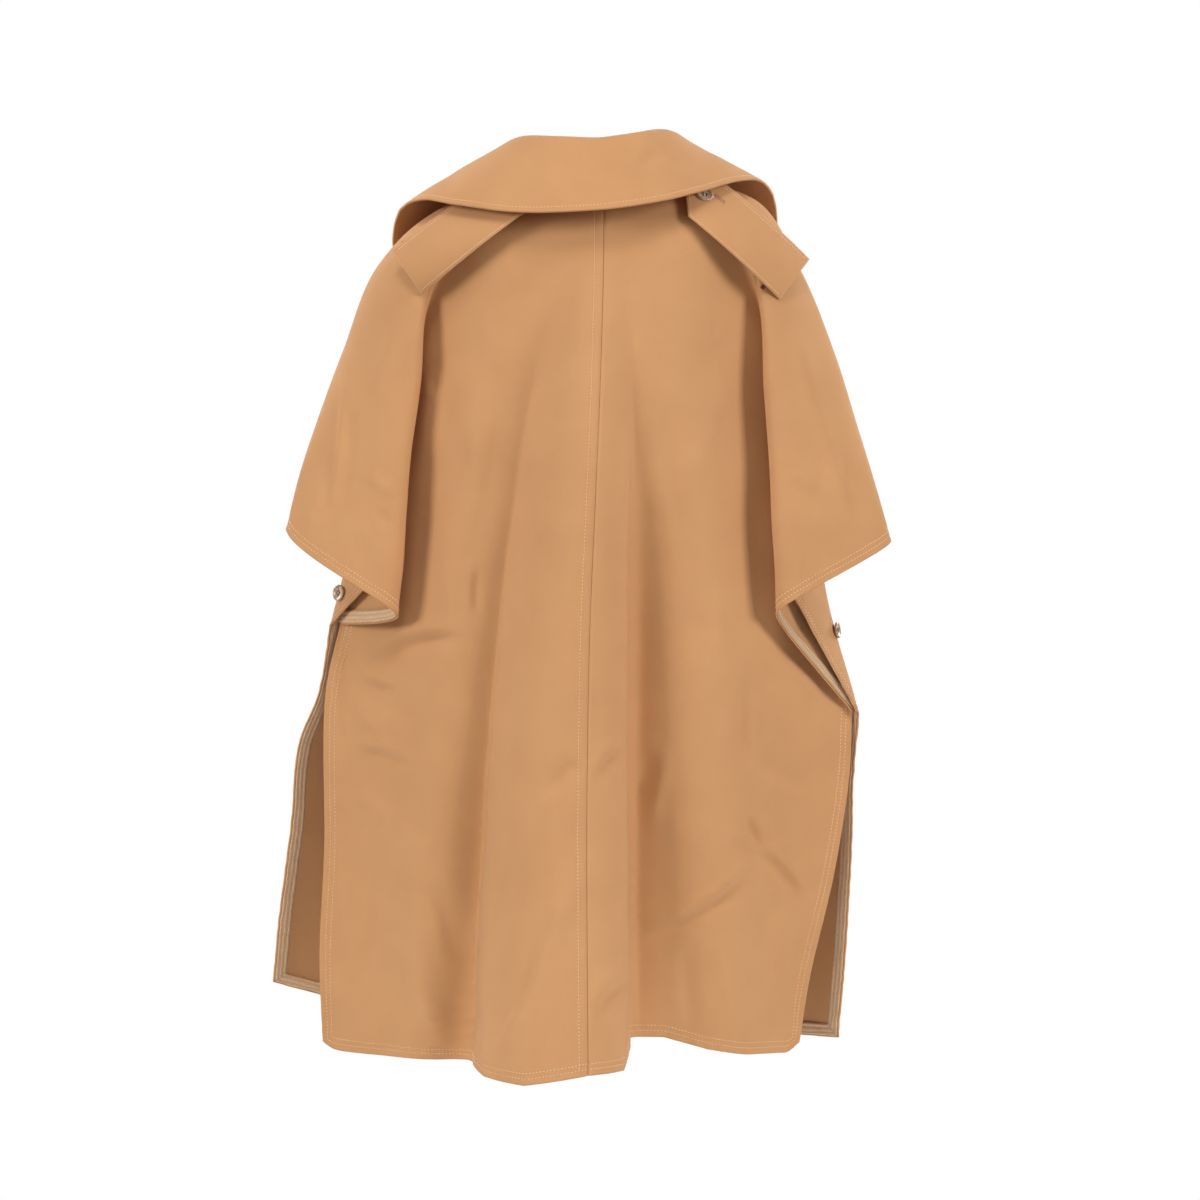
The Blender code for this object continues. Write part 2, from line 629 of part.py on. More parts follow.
def build_button(name, size, seat, facing, home, cutters, look):
    """A turned button with a raised rim and four holes, its back on the seat."""
    radius, thick = size[0] / 2, size[1]
    profile = (
        (0, 0), (0.88 * radius, 0), (radius, 0.55 * thick), (0.88 * radius, thick),
        (0.66 * radius, 0.7 * thick), (0, 0.7 * thick),
    )
    mesh = bpy.data.meshes.new(name)
    points = [(r * MM, 0, z * MM) for r, z in profile]
    mesh.from_pydata(points, [(i, i + 1) for i in range(len(points) - 1)], [])
    obj = bpy.data.objects.new(name, mesh)
    obj.data.materials.append(look)
    home.objects.link(obj)
    turn = obj.modifiers.new("turned", "SCREW")
    turn.axis = "Z"
    turn.steps = 16
    turn.render_steps = 16
    turn.use_merge_vertices = True
    turn.merge_threshold = 0.00001
    turn.use_normal_calculate = True
    holes = bmesh.new()
    for x, y in ((1, 1), (1, -1), (-1, 1), (-1, -1)):
        made = bmesh.ops.create_cone(
            holes, segments=6, radius1=0.11 * radius * MM, radius2=0.11 * radius * MM,
            depth=4 * thick * MM, cap_ends=True,
        )
        place = Vector((x * 0.2 * radius * MM, y * 0.2 * radius * MM, 0))
        bmesh.ops.translate(holes, verts=made["verts"], vec=place)
    cutter_mesh = bpy.data.meshes.new(name + "_holes")
    holes.to_mesh(cutter_mesh)
    holes.free()
    cutter = bpy.data.objects.new(name + "_holes", cutter_mesh)
    cutter.hide_render = True
    cutters.objects.link(cutter)
    cut = obj.modifiers.new("holes", "BOOLEAN")
    cut.object = cutter
    cut.operation = "DIFFERENCE"
    cut.solver = "EXACT"
    for piece in (obj, cutter):
        piece.location = Vector(seat) * MM
        piece.rotation_mode = "QUATERNION"
        piece.rotation_quaternion = Vector((0, 0, 1)).rotation_difference(Vector(facing))
    return obj


def side_button_seat(half):
    """On the front's outer face just inside its underarm corner, where the cloth turns back."""
    t = SIDE_BUTTON[half][0]
    turn, _, side, tuck, over = guides("front", half, t)
    first, _ = sleeve_lines("front", side, tuck, over, turn)
    at = along(first, [SIDE_BUTTON[half][1]])[0]
    run = along(first, [SIDE_BUTTON[half][1] + 2.0])[0] - at
    run[2] = 0
    normal = unit(np.array([run[1], -run[0], 0.0]))
    normal *= -np.sign(normal[1])
    normal = unit(normal + np.array(SIDE_BUTTON[half][2]))
    return at + normal * SHANK, normal


def main():
    clear_scene()
    home = collection("cape_trench_coat")
    cutters = collection("cutters")
    cutters.hide_render = True
    cloth = material("gabardine", (0.62, 0.37, 0.17), 0.8)
    ribbed = material("ribbed_tape", (0.66, 0.47, 0.27), 0.6)
    horn = material("horn", (0.42, 0.36, 0.3), 0.35)
    panels, shells = {}, {}
    for face in ("back", "front"):
        for half in ("left", "right"):
            shell, body, sleeve, counts = build_panel(face, half, home, cloth)
            build_tape(face, half, shell, *counts, home, ribbed)
            panels[(face, half)] = (body, sleeve)
            shells[(face, half)] = shell
    build_collar(panels, home, cloth)
    back = tree_of([shells[("back", "left")], shells[("back", "right")]])
    front = tree_of([shells[("front", "right")]])
    for half in ("left", "right"):
        _, seat, facing = build_strap(half, back, home, cloth)
        build_button(f"epaulette_button_{half}", EPAULETTE_BUTTON, seat, facing, home, cutters, horn)
        seat, facing = side_button_seat(half)
        build_button(f"side_button_{half}", SIDE_BUTTON_SIZE, seat, facing, home, cutters, horn)
    for number, z in enumerate(FRONT_BUTTON_Z, start=1):
        x = float(seam_x(z))
        seat, facing = seat_on(front, x, z, 1, FRONT_BUTTON[0] / 2)
        name = f"front_button_{number}"
        build_button(name, FRONT_BUTTON, seat, facing, home, cutters, horn)


main()
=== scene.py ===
"""Cape trench coat in tan cotton gabardine, hanging filled out with no wearer, seen from its back.

The frame is the part's own: metres, +Z up, the coat's back towards -Y. Lengths in the tables are in
millimetres.
"""

import math

import bpy
import numpy as np
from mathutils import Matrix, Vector, noise
from mathutils.bvhtree import BVHTree


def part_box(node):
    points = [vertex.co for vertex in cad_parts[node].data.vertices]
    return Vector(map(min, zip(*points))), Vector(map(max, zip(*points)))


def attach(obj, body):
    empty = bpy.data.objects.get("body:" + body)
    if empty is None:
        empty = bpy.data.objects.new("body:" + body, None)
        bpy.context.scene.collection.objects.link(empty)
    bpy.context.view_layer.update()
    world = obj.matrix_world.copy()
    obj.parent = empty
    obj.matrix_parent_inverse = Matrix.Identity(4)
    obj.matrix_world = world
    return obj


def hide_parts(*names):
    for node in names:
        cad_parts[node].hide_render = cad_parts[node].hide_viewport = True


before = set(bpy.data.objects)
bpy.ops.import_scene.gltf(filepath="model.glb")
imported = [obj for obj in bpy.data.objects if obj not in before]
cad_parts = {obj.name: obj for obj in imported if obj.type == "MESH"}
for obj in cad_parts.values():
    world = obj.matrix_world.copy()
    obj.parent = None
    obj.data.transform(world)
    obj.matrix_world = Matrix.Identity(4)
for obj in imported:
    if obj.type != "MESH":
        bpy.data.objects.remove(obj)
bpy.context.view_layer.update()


# ------------------------------------------------------------------------------------------------
# The studio. The coat hangs over a pale floor in broad, soft, slightly warm light that comes from
# behind the camera. The camera stands 3 m away, level with the middle of the coat.

bpy.context.scene.view_settings.view_transform = "Standard"

EYE = (0.0095, -3.0, -0.380)
AIM = Vector((0, 0, -0.4))
SOFTBOXES = (  # name, place, size, power
    ("left_key", (-2.95, -2.1, 0.6), 1.2, 71),
    ("right_key", (2.95, -2.0, 0.6), 1.2, 74),
    ("overhead", (-0.3, -1.9, 2.2), 0.9, 29),
    ("far_left", (-2.4, 2.2, 0.9), 1.6, 72),
    ("far_right", (2.4, 2.2, 0.9), 1.6, 72),
)
FLOOR_Z, FLOOR_HALF = -1.25, 1.55
FADE_FROM, FADE_TO = 0.8, 1.5

eye = bpy.data.cameras.new("camera")
eye.sensor_width = 36.0
eye.lens = 94.74
eye.clip_end = 60.0
camera = bpy.data.objects.new("camera", eye)
camera.location = EYE
camera.rotation_euler = (math.radians(90), 0, 0)
bpy.context.scene.collection.objects.link(camera)
bpy.context.scene.camera = camera


def into_scene(name, data):
    made = bpy.data.objects.new(name, data)
    bpy.context.scene.collection.objects.link(made)
    return made


def fill(tree, node, sockets):
    """Sets a node's sockets, or links them where the value is another node's output."""
    for key, value in sockets.items():
        if isinstance(value, bpy.types.NodeSocket):
            tree.links.new(value, node.inputs[key])
        else:
            node.inputs[key].default_value = value
    return node


def put(tree, kind, sockets=None, **settings):
    """A new node with its settings made and its sockets filled."""
    made = tree.nodes.new(kind)
    for key, value in settings.items():
        setattr(made, key, value)
    return fill(tree, made, sockets or {})


def new_finish(name):
    """A new material and its node tree."""
    made = bpy.data.materials.new(name)
    made.use_nodes = True
    return made, made.node_tree


def finished(made, sockets):
    """The material, with these values and masks on its own shader."""
    fill(made.node_tree, made.node_tree.nodes["Principled BSDF"], sockets)
    return made


studio = bpy.data.worlds.new("studio")
studio.use_nodes = True
sky = studio.node_tree
sky.nodes.clear()
backdrop = put(sky, "ShaderNodeBackground", {"Color": (1, 1, 1, 1), "Strength": 1.0})
ambient = put(sky, "ShaderNodeBackground", {"Color": (1.0, 0.985, 0.965, 1), "Strength": 0.27})
ray = put(sky, "ShaderNodeLightPath").outputs["Is Camera Ray"]
both = put(sky, "ShaderNodeMixShader", {0: ray, 1: ambient.outputs[0], 2: backdrop.outputs[0]})
put(sky, "ShaderNodeOutputWorld", {"Surface": both.outputs[0]})
bpy.context.scene.world = studio

for name, place, size, power in SOFTBOXES:
    lamp = bpy.data.lights.new(name, "AREA")
    lamp.size = size
    lamp.energy = power
    lamp.color = (1.0, 0.975, 0.945)
    made = into_scene(name, lamp)
    made.location = place
    made.rotation_euler = (AIM - Vector(place)).to_track_quat("-Z", "Y").to_euler()

floor_mesh = bpy.data.meshes.new("floor")
around = ((-1, -1), (1, -1), (1, 1), (-1, 1))
corners = [(x * FLOOR_HALF, y * FLOOR_HALF, FLOOR_Z) for x, y in around]
floor_mesh.from_pydata(corners, [], [(0, 1, 2, 3)])
floor = into_scene("floor", floor_mesh)
pale, tree = new_finish("pale_floor")
where = put(tree, "ShaderNodeTexCoord").outputs["Object"]
reach = put(tree, "ShaderNodeVectorMath", {0: where, 1: (1, 1, 0)}, operation="MULTIPLY")
far = put(tree, "ShaderNodeVectorMath", {0: reach.outputs[0]}, operation="LENGTH")
fading = {"From Min": FADE_FROM, "From Max": FADE_TO, "To Min": 1.0, "To Max": 0.0}
fade = put(
    tree, "ShaderNodeMapRange", {"Value": far.outputs["Value"], **fading},
    interpolation_type="SMOOTHSTEP",
)
paint = {"Base Color": (0.9, 0.9, 0.895, 1), "Roughness": 0.8, "Alpha": fade.outputs["Result"]}
floor_mesh.materials.append(finished(pale, paint))


# ------------------------------------------------------------------------------------------------
# The back halves. Each is one layer of tan cotton gabardine with its cape sleeve cut in one: from
# the centre-back seam out to the body's side line, back in to the tuck line, and out again over the
# arm. The edges are turned under; the two halves are seamed down the centre and topstitched there.

MM = 0.001
CLOTH = 1.5
SEAM_GAP = 0.3
OVERARM_CLEAR = 0.59
NECK_FALL, NECK_DEPTH = 0.55, 80.0    # how the back curves in below the neck, and how far down
HEM_FROM = 0.4                        # share of the way down where the hem's own curve sets in
STEPS, TURN_STEPS = 270, 40           # steps of a level, and of its turn at the side
TURN_AT = 83 / 90                     # share of the way out where a level starts to turn in
BOW_PEAK = 27 / 4                     # brings the bow of the sleeve end to its full height
RETURN_STEPS, OUTER_STEPS = 120, 180  # steps of the sleeve's two layers
EASY_SIDE, EASY_TUCK = 0.9, 0.5       # pulls of the sleeve's layers where they don't turn back
SEAM = (  # z, x
    (40, 12), (-45, 13), (-150, 11), (-280, 6), (-391, 1), (-545, -2), (-820, -1),
)
BASE = {
    "back": (  # z, y
        (40, -66), (0, -72), (-45, -84), (-110, -92), (-200, -96),
        (-300, -94), (-450, -88), (-600, -82), (-820, -76),
    ),
}
BELL = {"back": (2.0, 1.4)}             # how square a level is towards its side line
OUTWARD = {"back": -1, "front": 1}
SIDEWARD = {"left": -1, "right": 1}
EDGE_PULL = {"back": -10.0}
TURN_PULLS = {"back": (-16.0, -18.0, -96.0, 64.0, 18.0)}
TUCK_RISE = {"back": 30.0}
SLEEVE_BOW = {"left": 10.0, "right": 4.0}
UPPER = {  # t, turn, centre z, side line, tuck line, overarm seam
    ("back", "left"): (
        (0.00, 0.0, -4, (-68, -20, 15), (-70, -10, 19), (-71, 0, 21)),
        (0.12, 0.0, -45, (-111, -62, -28), (-129, -48, -20), (-145, -22, -13)),
        (0.27, 0.6, -108, (-150, -40, -99), (-151, -53, -93), (-201, -2, -62)),
        (0.45, 1.0, -186, (-181, -16, -177), (-157, -54, -175), (-234, -6, -143)),
        (0.63, 1.0, -266, (-200, -10, -249), (-166, -56, -245), (-257, -14, -207)),
        (0.82, 1.0, -350, (-218, -8, -333), (-172, -58, -329), (-274, -26, -262)),
        (1.00, 1.0, -430, (-236, -6, -403), (-178, -58, -395), (-285, -38, -312)),
    ),
    ("back", "right"): (
        (0.00, 0.0, -4, (93, -20, 15), (95, -10, 19), (96, 0, 21)),
        (0.12, 0.0, -45, (121, -62, -22), (140, -48, -13), (158, -22, -4)),
        (0.27, 0.6, -108, (158, -40, -99), (157, -53, -92), (199, -4, -65)),
        (0.45, 1.0, -186, (184, -16, -196), (162, -54, -179), (231, -6, -143)),
        (0.63, 1.0, -266, (201, -10, -285), (167, -56, -259), (253, -14, -215)),
        (0.82, 1.0, -350, (217, -8, -385), (171, -58, -343), (270, -26, -274)),
        (1.00, 1.0, -430, (248, -6, -486), (173, -58, -393), (283, -38, -324)),
    ),
}
LOWER = {  # t, turn, centre z, free side edge
    ("back", "left"): (
        (0.0, 1.0, -430, (-236, -6, -403)),
        (0.2, 0.2, -505, (-251, 0, -466)),
        (0.5, 0.0, -610, (-253, 4, -613)),
        (0.8, 0.0, -722, (-257, 2, -727)),
        (1.0, 0.0, -806, (-254, 0, -800)),
    ),
    ("back", "right"): (
        (0.0, 1.0, -430, (248, -6, -486)),
        (0.2, 0.2, -505, (247, 0, -540)),
        (0.5, 0.0, -610, (232, 4, -641)),
        (0.8, 0.0, -722, (208, 2, -742)),
        (1.0, 0.0, -806, (199, 0, -796)),
    ),
}
HEM = (  # x, z
    (-254, -799), (-246, -807), (-170, -808), (-112, -809), (-98, -816), (-60, -820),
    (-1, -811), (31, -810), (40, -786), (70, -787), (110, -799), (145, -806),
    (186, -809), (199, -800),
)
FLARE = (  # the wide fold down the middle: z, left foot, crest, right foot, softness, height
    (0, -22, 8, 36, 2.0, 0),
    (-75, -28, 6, 38, 2.0, 5),
    (-129, -40, 2, 40, 1.6, 13),
    (-191, -54, -2, 40, 1.2, 23),
    (-307, -72, -8, 41, 0.9, 34),
    (-426, -85, -18, 42, 0.65, 41),
    (-545, -95, -26, 41, 0.5, 49),
    (-649, -101, -34, 41, 0.42, 57),
    (-728, -105, -40, 41, 0.38, 64),
    (-820, -109, -46, 40, 0.36, 72),
)
RIPPLES = {  # top z and x, low z and x, width, top height, low height
    "back": (
        (-90, -103, -800, -165, 46, 9, 17),
        (-90, 92, -800, 137, 46, 9, 15),
        (-150, -50, -800, -122, 20, -6, -9),
        (-300, 46, -800, 62, 18, -2, -1),
        (-560, -205, -800, -222, 24, 0, 8),
    ),
}
# Creases and soft hollows, pressed in one by one: from x, z to x, z; bow sideways; width of the
# side to the right of its run and of the other side; height, below zero for a hollow.
CREASES = {
    ("back", "left", "body"): (
        (-207, -439, -122, -415, -6, 7, 5, -5.3),
        (-204, -424, -126, -405, -6, 5, 8, 2.8),
        (-214, -447, -183, -458, 2, 4, 6, 3.7),
        (-212, -455, -186, -466, 2, 4, 5, -2.2),
        (-217, -492, -196, -508, -2, 4, 7, 3.6),
        (-222, -517, -167, -528, -4, 4, 7, 3.7),
        (-218, -526, -172, -536, -4, 5, 6, -2.0),
        (-228, -412, -230, -502, 5, 6, 8, -3.4),
        (-206, -468, -158, -488, 4, 7, 12, -3.1),
        (-224, -562, -186, -594, -4, 7, 11, 2.8),
        (-104, -352, -105, -392, 2, 3, 5, -2.8),
        (-111, -340, -112, -396, 2, 5, 6, 2.3),
        (-158, -176, -142, -192, 1, 4, 6, 1.9),
        (-160, -270, -168, -405, 3, 14, 16, -5.0),
        (-140, -168, -150, -250, 3, 12, 16, 4.7),
        (-120, -150, -98, -262, 6, 12, 20, 2.9),
        (-84, -190, -110, -340, -5, 9, 16, -3.4),
        (-132, -300, -126, -402, 4, 9, 14, 2.5),
        (-5, -526, -40, -558, 3, 7, 11, -3.4),
        (-16, -640, -49, -728, 4, 6, 11, 4.3),
        (-46, -716, -90, -796, -4, 5, 10, 4.5),
        (-31, -668, -60, -748, 4, 7, 8, -2.6),
        (-60, -598, -86, -692, 5, 8, 12, -2.9),
        (-166, -690, -138, -790, 5, 8, 12, 2.9),
        (-150, -640, -126, -712, -4, 8, 13, -2.8),
        (-206, -640, -216, -742, -6, 8, 10, -2.9),
        (-232, -640, -226, -720, 3, 6, 9, 2.2),
        (-178, -560, -150, -606, 4, 8, 12, -2.5),
    ),
    ("back", "left", "outer"): (
        (-232, -182, -243, -300, -4, 3, 6, 3.1),
        (-226, -190, -236, -300, -4, 6, 7, -1.7),
        (-206, -263, -180, -281, 2, 5, 7, 2.5),
        (-176, -120, -198, -196, 4, 9, 13, 2.6),
        (-214, -316, -196, -376, 4, 8, 11, -2.6),
        (-197, -296, -186, -312, 1, 4, 6, -2.0),
        (-246, -262, -262, -322, 3, 8, 11, 2.5),
    ),
    ("back", "left", "return"): ((-212, -300, -188, -372, 4, 10, 12, 1.8),),
    ("back", "right", "body"): (
        (42, -250, 44, -815, 1, 4, 36, -14.0),
        (47, -300, 49, -815, 1, 3, 9, -4.0),
        (58, -524, 44, -574, -2, 5, 8, -2.6),
        (70, -520, 56, -590, -2, 7, 8, 2.8),
        (154, -618, 41, -684, -9, 5, 9, 3.7),
        (158, -630, 52, -696, -8, 9, 7, -4.7),
        (149, -584, 160, -610, 2, 3, 4, -4.0),
        (160, -582, 170, -604, 1, 4, 5, 2.5),
        (160, -607, 203, -656, -4, 4, 7, 3.9),
        (154, -618, 196, -664, -5, 6, 6, -2.8),
        (172, -606, 188, -614, 1, 3, 5, 2.6),
        (128, -596, 152, -612, -2, 5, 7, 2.3),
        (9, -762, 36, -732, -3, 5, 8, -4.0),
        (2, -744, 33, -718, -3, 6, 8, 2.9),
        (8, -546, 30, -520, -2, 5, 8, -3.7),
        (3, -536, 26, -508, -2, 6, 8, 2.5),
        (120, -150, 104, -262, -5, 12, 18, 2.9),
        (74, -196, 94, -346, 5, 9, 16, -3.4),
        (146, -456, 144, -532, 2, 6, 9, -2.5),
        (155, -470, 156, -540, 2, 6, 8, 2.0),
        (150, -270, 160, -392, -3, 14, 14, -4.0),
        (172, -440, 216, -472, -4, 6, 10, 3.1),
        (150, -520, 208, -558, 5, 8, 12, -3.1),
        (118, -696, 134, -788, -4, 9, 13, 2.9),
        (92, -700, 98, -786, 3, 8, 12, -2.6),
        (188, -660, 178, -752, 4, 7, 11, 2.6),
        (120, -360, 128, -452, 4, 9, 14, 2.3),
    ),
    ("back", "right", "outer"): (
        (208, -190, 244, -290, 4, 8, 12, 3.1),
        (186, -130, 208, -202, -4, 9, 13, 2.6),
        (204, -318, 194, -378, -4, 8, 11, -2.8),
        (186, -262, 208, -280, -2, 5, 7, 2.3),
        (236, -238, 256, -312, 4, 6, 9, -2.3),
    ),
    ("back", "right", "return"): ((214, -360, 198, -420, 4, 10, 12, 1.8),),
}


def smooth(rows, at):
    """A table's values at a key, on curves through its rows that are held at the ends."""
    rows = np.array([np.hstack(row) for row in rows], float)
    if rows[0, 0] > rows[-1, 0]:
        rows = rows[::-1]
    keys, values = rows[:, 0], rows[:, 1:]
    slope = np.gradient(values, keys, axis=0)
    at = np.clip(np.asarray(at, float), keys[0], keys[-1])
    i = np.clip(np.searchsorted(keys, at) - 1, 0, len(keys) - 2)
    step = (keys[i + 1] - keys[i])[..., None]
    f = (at - keys[i])[..., None] / step
    return (
        values[i] * (1 + 2 * f) * (1 - f) ** 2
        + slope[i] * step * f * (1 - f) ** 2
        + values[i + 1] * f**2 * (3 - 2 * f)
        + slope[i + 1] * step * f**2 * (f - 1)
    )


def run(start, start_pull, end, end_pull, steps):
    """A line from start to end that leaves and arrives along its pulls."""
    f = np.linspace(0, 1, steps + 1)[:, None]
    return (
        start * (1 + 2 * f) * (1 - f) ** 2
        + start_pull * f * (1 - f) ** 2
        + end * f**2 * (3 - 2 * f)
        + end_pull * f**2 * (f - 1)
    )


def arc(lines, axis=0):
    """How far each point lies along its line, down a grid or, with axis 1, across it."""
    steps = np.linalg.norm(np.diff(lines, axis=axis), axis=-1)
    start = np.zeros_like(steps.take([0], axis))
    return np.concatenate([start, np.cumsum(steps, axis=axis)], axis=axis)


def at_lengths(values, length, at):
    return np.stack([np.interp(at, length, values[:, k]) for k in range(3)], axis=-1)


def along(line, distances):
    return at_lengths(line, arc(line), distances)


def ease(f):
    f = np.clip(f, 0, 1)
    return f * f * (3 - 2 * f)


def fold_height(face, x, z):
    """How far the ripples and the flare stand out from the plain back or front."""
    total = np.zeros_like(x)
    for top_z, top_x, low_z, low_x, width, top_h, low_h in RIPPLES[face]:
        f = (z - top_z) / (low_z - top_z)
        crest = top_x + (low_x - top_x) * f
        height = (top_h + (low_h - top_h) * np.clip(f, 0, 1)) * ease(f * 4 + 1)
        total += height * np.exp(-(((x - crest) / width) ** 2))
    if face == "back":
        left, crest, right, softness, height = smooth(FLARE, z).T
        off = np.where(x < crest, (crest - x) / (crest - left), (x - crest) / (right - crest))
        total += height * np.clip(1 - off**2, 0, 1) ** softness
    return total


def body_line(face, half, centre_z, side, turn, down=0.0):
    """One level of the body, from the centre edge out to the side line; down is 1 at the hem."""
    sign = SIDEWARD[half]
    middle = float(smooth(SEAM, centre_z)[0])
    start = middle + sign * SEAM_GAP / 2 if face == "back" else middle - sign * LAP_HALF
    x = np.linspace(start, side[0], STEPS + 1)
    s = np.abs(x - middle) / abs(side[0] - middle)
    z = centre_z + (side[2] - centre_z) * s**2
    if face == "back":
        last_z, last_side = LOWER[(face, half)][-1][2:]
        plain = last_z + (last_side[2] - last_z) * s**2
        hem = np.interp(x, *np.array(HEM, float).T)
        z += (hem - plain) * ease((down - HEM_FROM) / (1 - HEM_FROM))
    base = smooth(BASE[face], z)[:, 0]
    power, fall = BELL[face]
    below_neck = ease((UPPER[(face, half)][0][2] - centre_z) / NECK_DEPTH)
    fall = NECK_FALL + (fall - NECK_FALL) * below_neck
    y = side[1] + (base - side[1]) * np.clip(1 - s**power, 0, 1) ** fall
    y += OUTWARD[face] * fold_height(face, x, z) * (1 - s**10)
    if face == "front" and half == "right":
        y += LAP_STEP * ease((middle + LAP_EASED - x) / LAP_EASE)
    line = np.stack([x, y, z], axis=1)
    cut = round(STEPS * TURN_AT)
    pull = (line[cut] - line[cut - 2]) * (STEPS - cut) / 2
    last = line[-1] - line[-2]
    end_pull = last * (STEPS - cut) * (1 - turn) + np.array([0, EDGE_PULL[face], 0]) * turn
    return np.concatenate([line[:cut], run(line[cut], pull, line[-1], end_pull, TURN_STEPS)])


def sleeve_lines(face, side, tuck, over, turn, bow):
    """The returning layer from the side line to the tuck line, then the outer layer to the seam."""
    pulls = [np.array([0.0, pull, 0.0]) for pull in TURN_PULLS[face]]
    side_pull, tuck_pull, outer_pull, over_pull, flow_over = pulls
    tuck_pull[2] = outer_pull[2] = TUCK_RISE[face]
    flow_side = (tuck - side) * EASY_SIDE
    flow_tuck = (over - side) * EASY_TUCK
    eased = (flow_side, flow_tuck, flow_tuck, flow_over)
    turning = (side_pull, tuck_pull, outer_pull, over_pull)
    leave, arrive, start, end = (t * turn + e * (1 - turn) for t, e in zip(turning, eased))
    first = run(side, leave, tuck, arrive, RETURN_STEPS)
    second = run(tuck, start, over, end, OUTER_STEPS)
    f = np.linspace(0, 1, len(second))
    second[:, 1] += OUTWARD[face] * OVERARM_CLEAR * f**2
    second[:, 2] -= bow * BOW_PEAK * f**2 * (1 - f)
    return first, second


# Rows and columns stand close together beside the turned edges, where the stitching lies.
BESIDE_EDGE = np.array([13.0, 11.0, 9.5, 8.0, 6.0, 4.5, 3.0, 1.5, 0.0])
BESIDE_SEAM = np.array([0.0, 0.5, 1.1, 2.0, 3.2])
CLEAR_OF_SEAM, CLEAR_OF_EDGE, FLARE_FROM = 4.8, 15.0, 14.0
EDGES = len(BESIDE_EDGE)
UPPER_RUN, LOWER_RUN = 371.0, 385.0
ROWS = {
    length: np.concatenate([np.linspace(0, 1 - 17 / length, count), 1 - BESIDE_EDGE / length])
    for length, count in ((UPPER_RUN, 100), (LOWER_RUN, 92))
}
SPACES = {("back", "left"): (14, 30, 60), ("back", "right"): (26, 78)}
RETURN_COLUMNS, OUTER_COLUMNS = 26, 58
BUNCHING = 0.7


def closer(count):
    """Shares from 0 to 1 that stand closer together towards both ends."""
    f = np.linspace(0, 1, count)
    return f - BUNCHING * f * (1 - f) ** 2 + BUNCHING * f**2 * (1 - f)


def body_columns(line, face, half):
    """The level's points, one on each column; the flare's feet and crest keep to their own."""
    length = arc(line)
    full = length[-1]
    marks = [CLEAR_OF_SEAM, full - CLEAR_OF_EDGE]
    if face == "back":
        left, crest, right = smooth(FLARE, line[0, 2])[:3]
        lines = (crest, left) if half == "left" else (right,)
        sign = SIDEWARD[half]
        places = [np.interp(sign * x, sign * line[:, 0], length) for x in lines]
        marks[1:1] = [max(place, FLARE_FROM) for place in places]
    at = [BESIDE_SEAM]
    for count, a, b in zip(SPACES[(face, half)], marks, marks[1:]):
        at.append(np.linspace(a, b, count, endpoint=False))
    return along(line, np.concatenate([*at, [marks[-1]], full - BESIDE_EDGE]))


def cut_panel(face, half):
    """A half's right side in mm: the body from neck to hem, the sleeve from neck to its end."""
    body, sleeve = [], []
    for t in ROWS[UPPER_RUN]:
        turn, z, *places = smooth(UPPER[(face, half)], t)
        turn = np.clip(turn, 0, 1)
        side, tuck, over = np.reshape(places, (3, 3))
        body.append(body_columns(body_line(face, half, z, side, turn), face, half))
        bow = SLEEVE_BOW[half] * ease((t - 0.5) / 0.5)
        first, second = sleeve_lines(face, side, tuck, over, turn, bow)
        inner = along(first, arc(first)[-1] * closer(RETURN_COLUMNS))
        outer = along(second, arc(second)[-1] * closer(OUTER_COLUMNS))
        sleeve.append(np.concatenate([inner, outer[1:]]))
    for t in ROWS[LOWER_RUN][1:]:
        turn, z, *side = smooth(LOWER[(face, half)], t)
        line = body_line(face, half, z, np.array(side), np.clip(turn, 0, 1), t)
        body.append(body_columns(line, face, half))
    return np.array(body), np.array(sleeve)


def quads(ids, flip):
    """Faces between the points of a grid, wound the other way round if flipped."""
    made = np.stack([ids[:-1, :-1], ids[1:, :-1], ids[1:, 1:], ids[:-1, 1:]], axis=-1)
    made = made.reshape(-1, 4)
    return made[:, ::-1] if flip else made


def piece_of(name, points, faces, uv=None):
    """A piece given in mm, shaded smooth, with the cloth's own flat directions as its UV map."""
    mesh = bpy.data.meshes.new(name)
    faces = faces if isinstance(faces, list) else faces.tolist()
    mesh.from_pydata((np.asarray(points) * MM).tolist(), [], faces)
    mesh.polygons.foreach_set("use_smooth", np.ones(len(mesh.polygons), bool))
    if uv is not None:
        layer = mesh.uv_layers.new(name="cut")
        corner = np.empty(len(mesh.loops), int)
        mesh.loops.foreach_get("vertex_index", corner)
        layer.data.foreach_set("uv", (uv[corner] * MM).ravel())
    return into_scene(name, mesh)


def outward(points, faces):
    """Which way each point's cloth faces."""
    mesh = bpy.data.meshes.new("facing")
    mesh.from_pydata(points.tolist(), [], faces.tolist())
    found = np.empty(len(points) * 3)
    mesh.vertex_normals.foreach_get("vector", found)
    bpy.data.meshes.remove(mesh)
    return found.reshape(-1, 3)


def pressed(points, creases):
    """How far the listed creases and hollows lift each point."""
    lift = np.zeros(len(points))
    for x1, z1, x2, z2, bow, right, left, height in creases:
        way = np.array([x2 - x1, z2 - z1], float)
        length = np.linalg.norm(way)
        way /= length
        off = points[:, [0, 2]] - (x1, z1)
        f = off @ way / length
        across = off @ np.array([way[1], -way[0]]) - bow * 4 * f * (1 - f)
        width = np.where(across > 0, right, left)
        fade = ease((f + 0.15) / 0.5) * ease((1.15 - f) / 0.5)
        lift += height * fade * np.exp(-((across / width) ** 2))
    return lift


def unevenness(points, size, height, seed):
    """The slow waves of cloth that hangs free."""
    place = points / size + seed * 7.3
    return height * np.array([noise.noise(Vector(p)) for p in place])


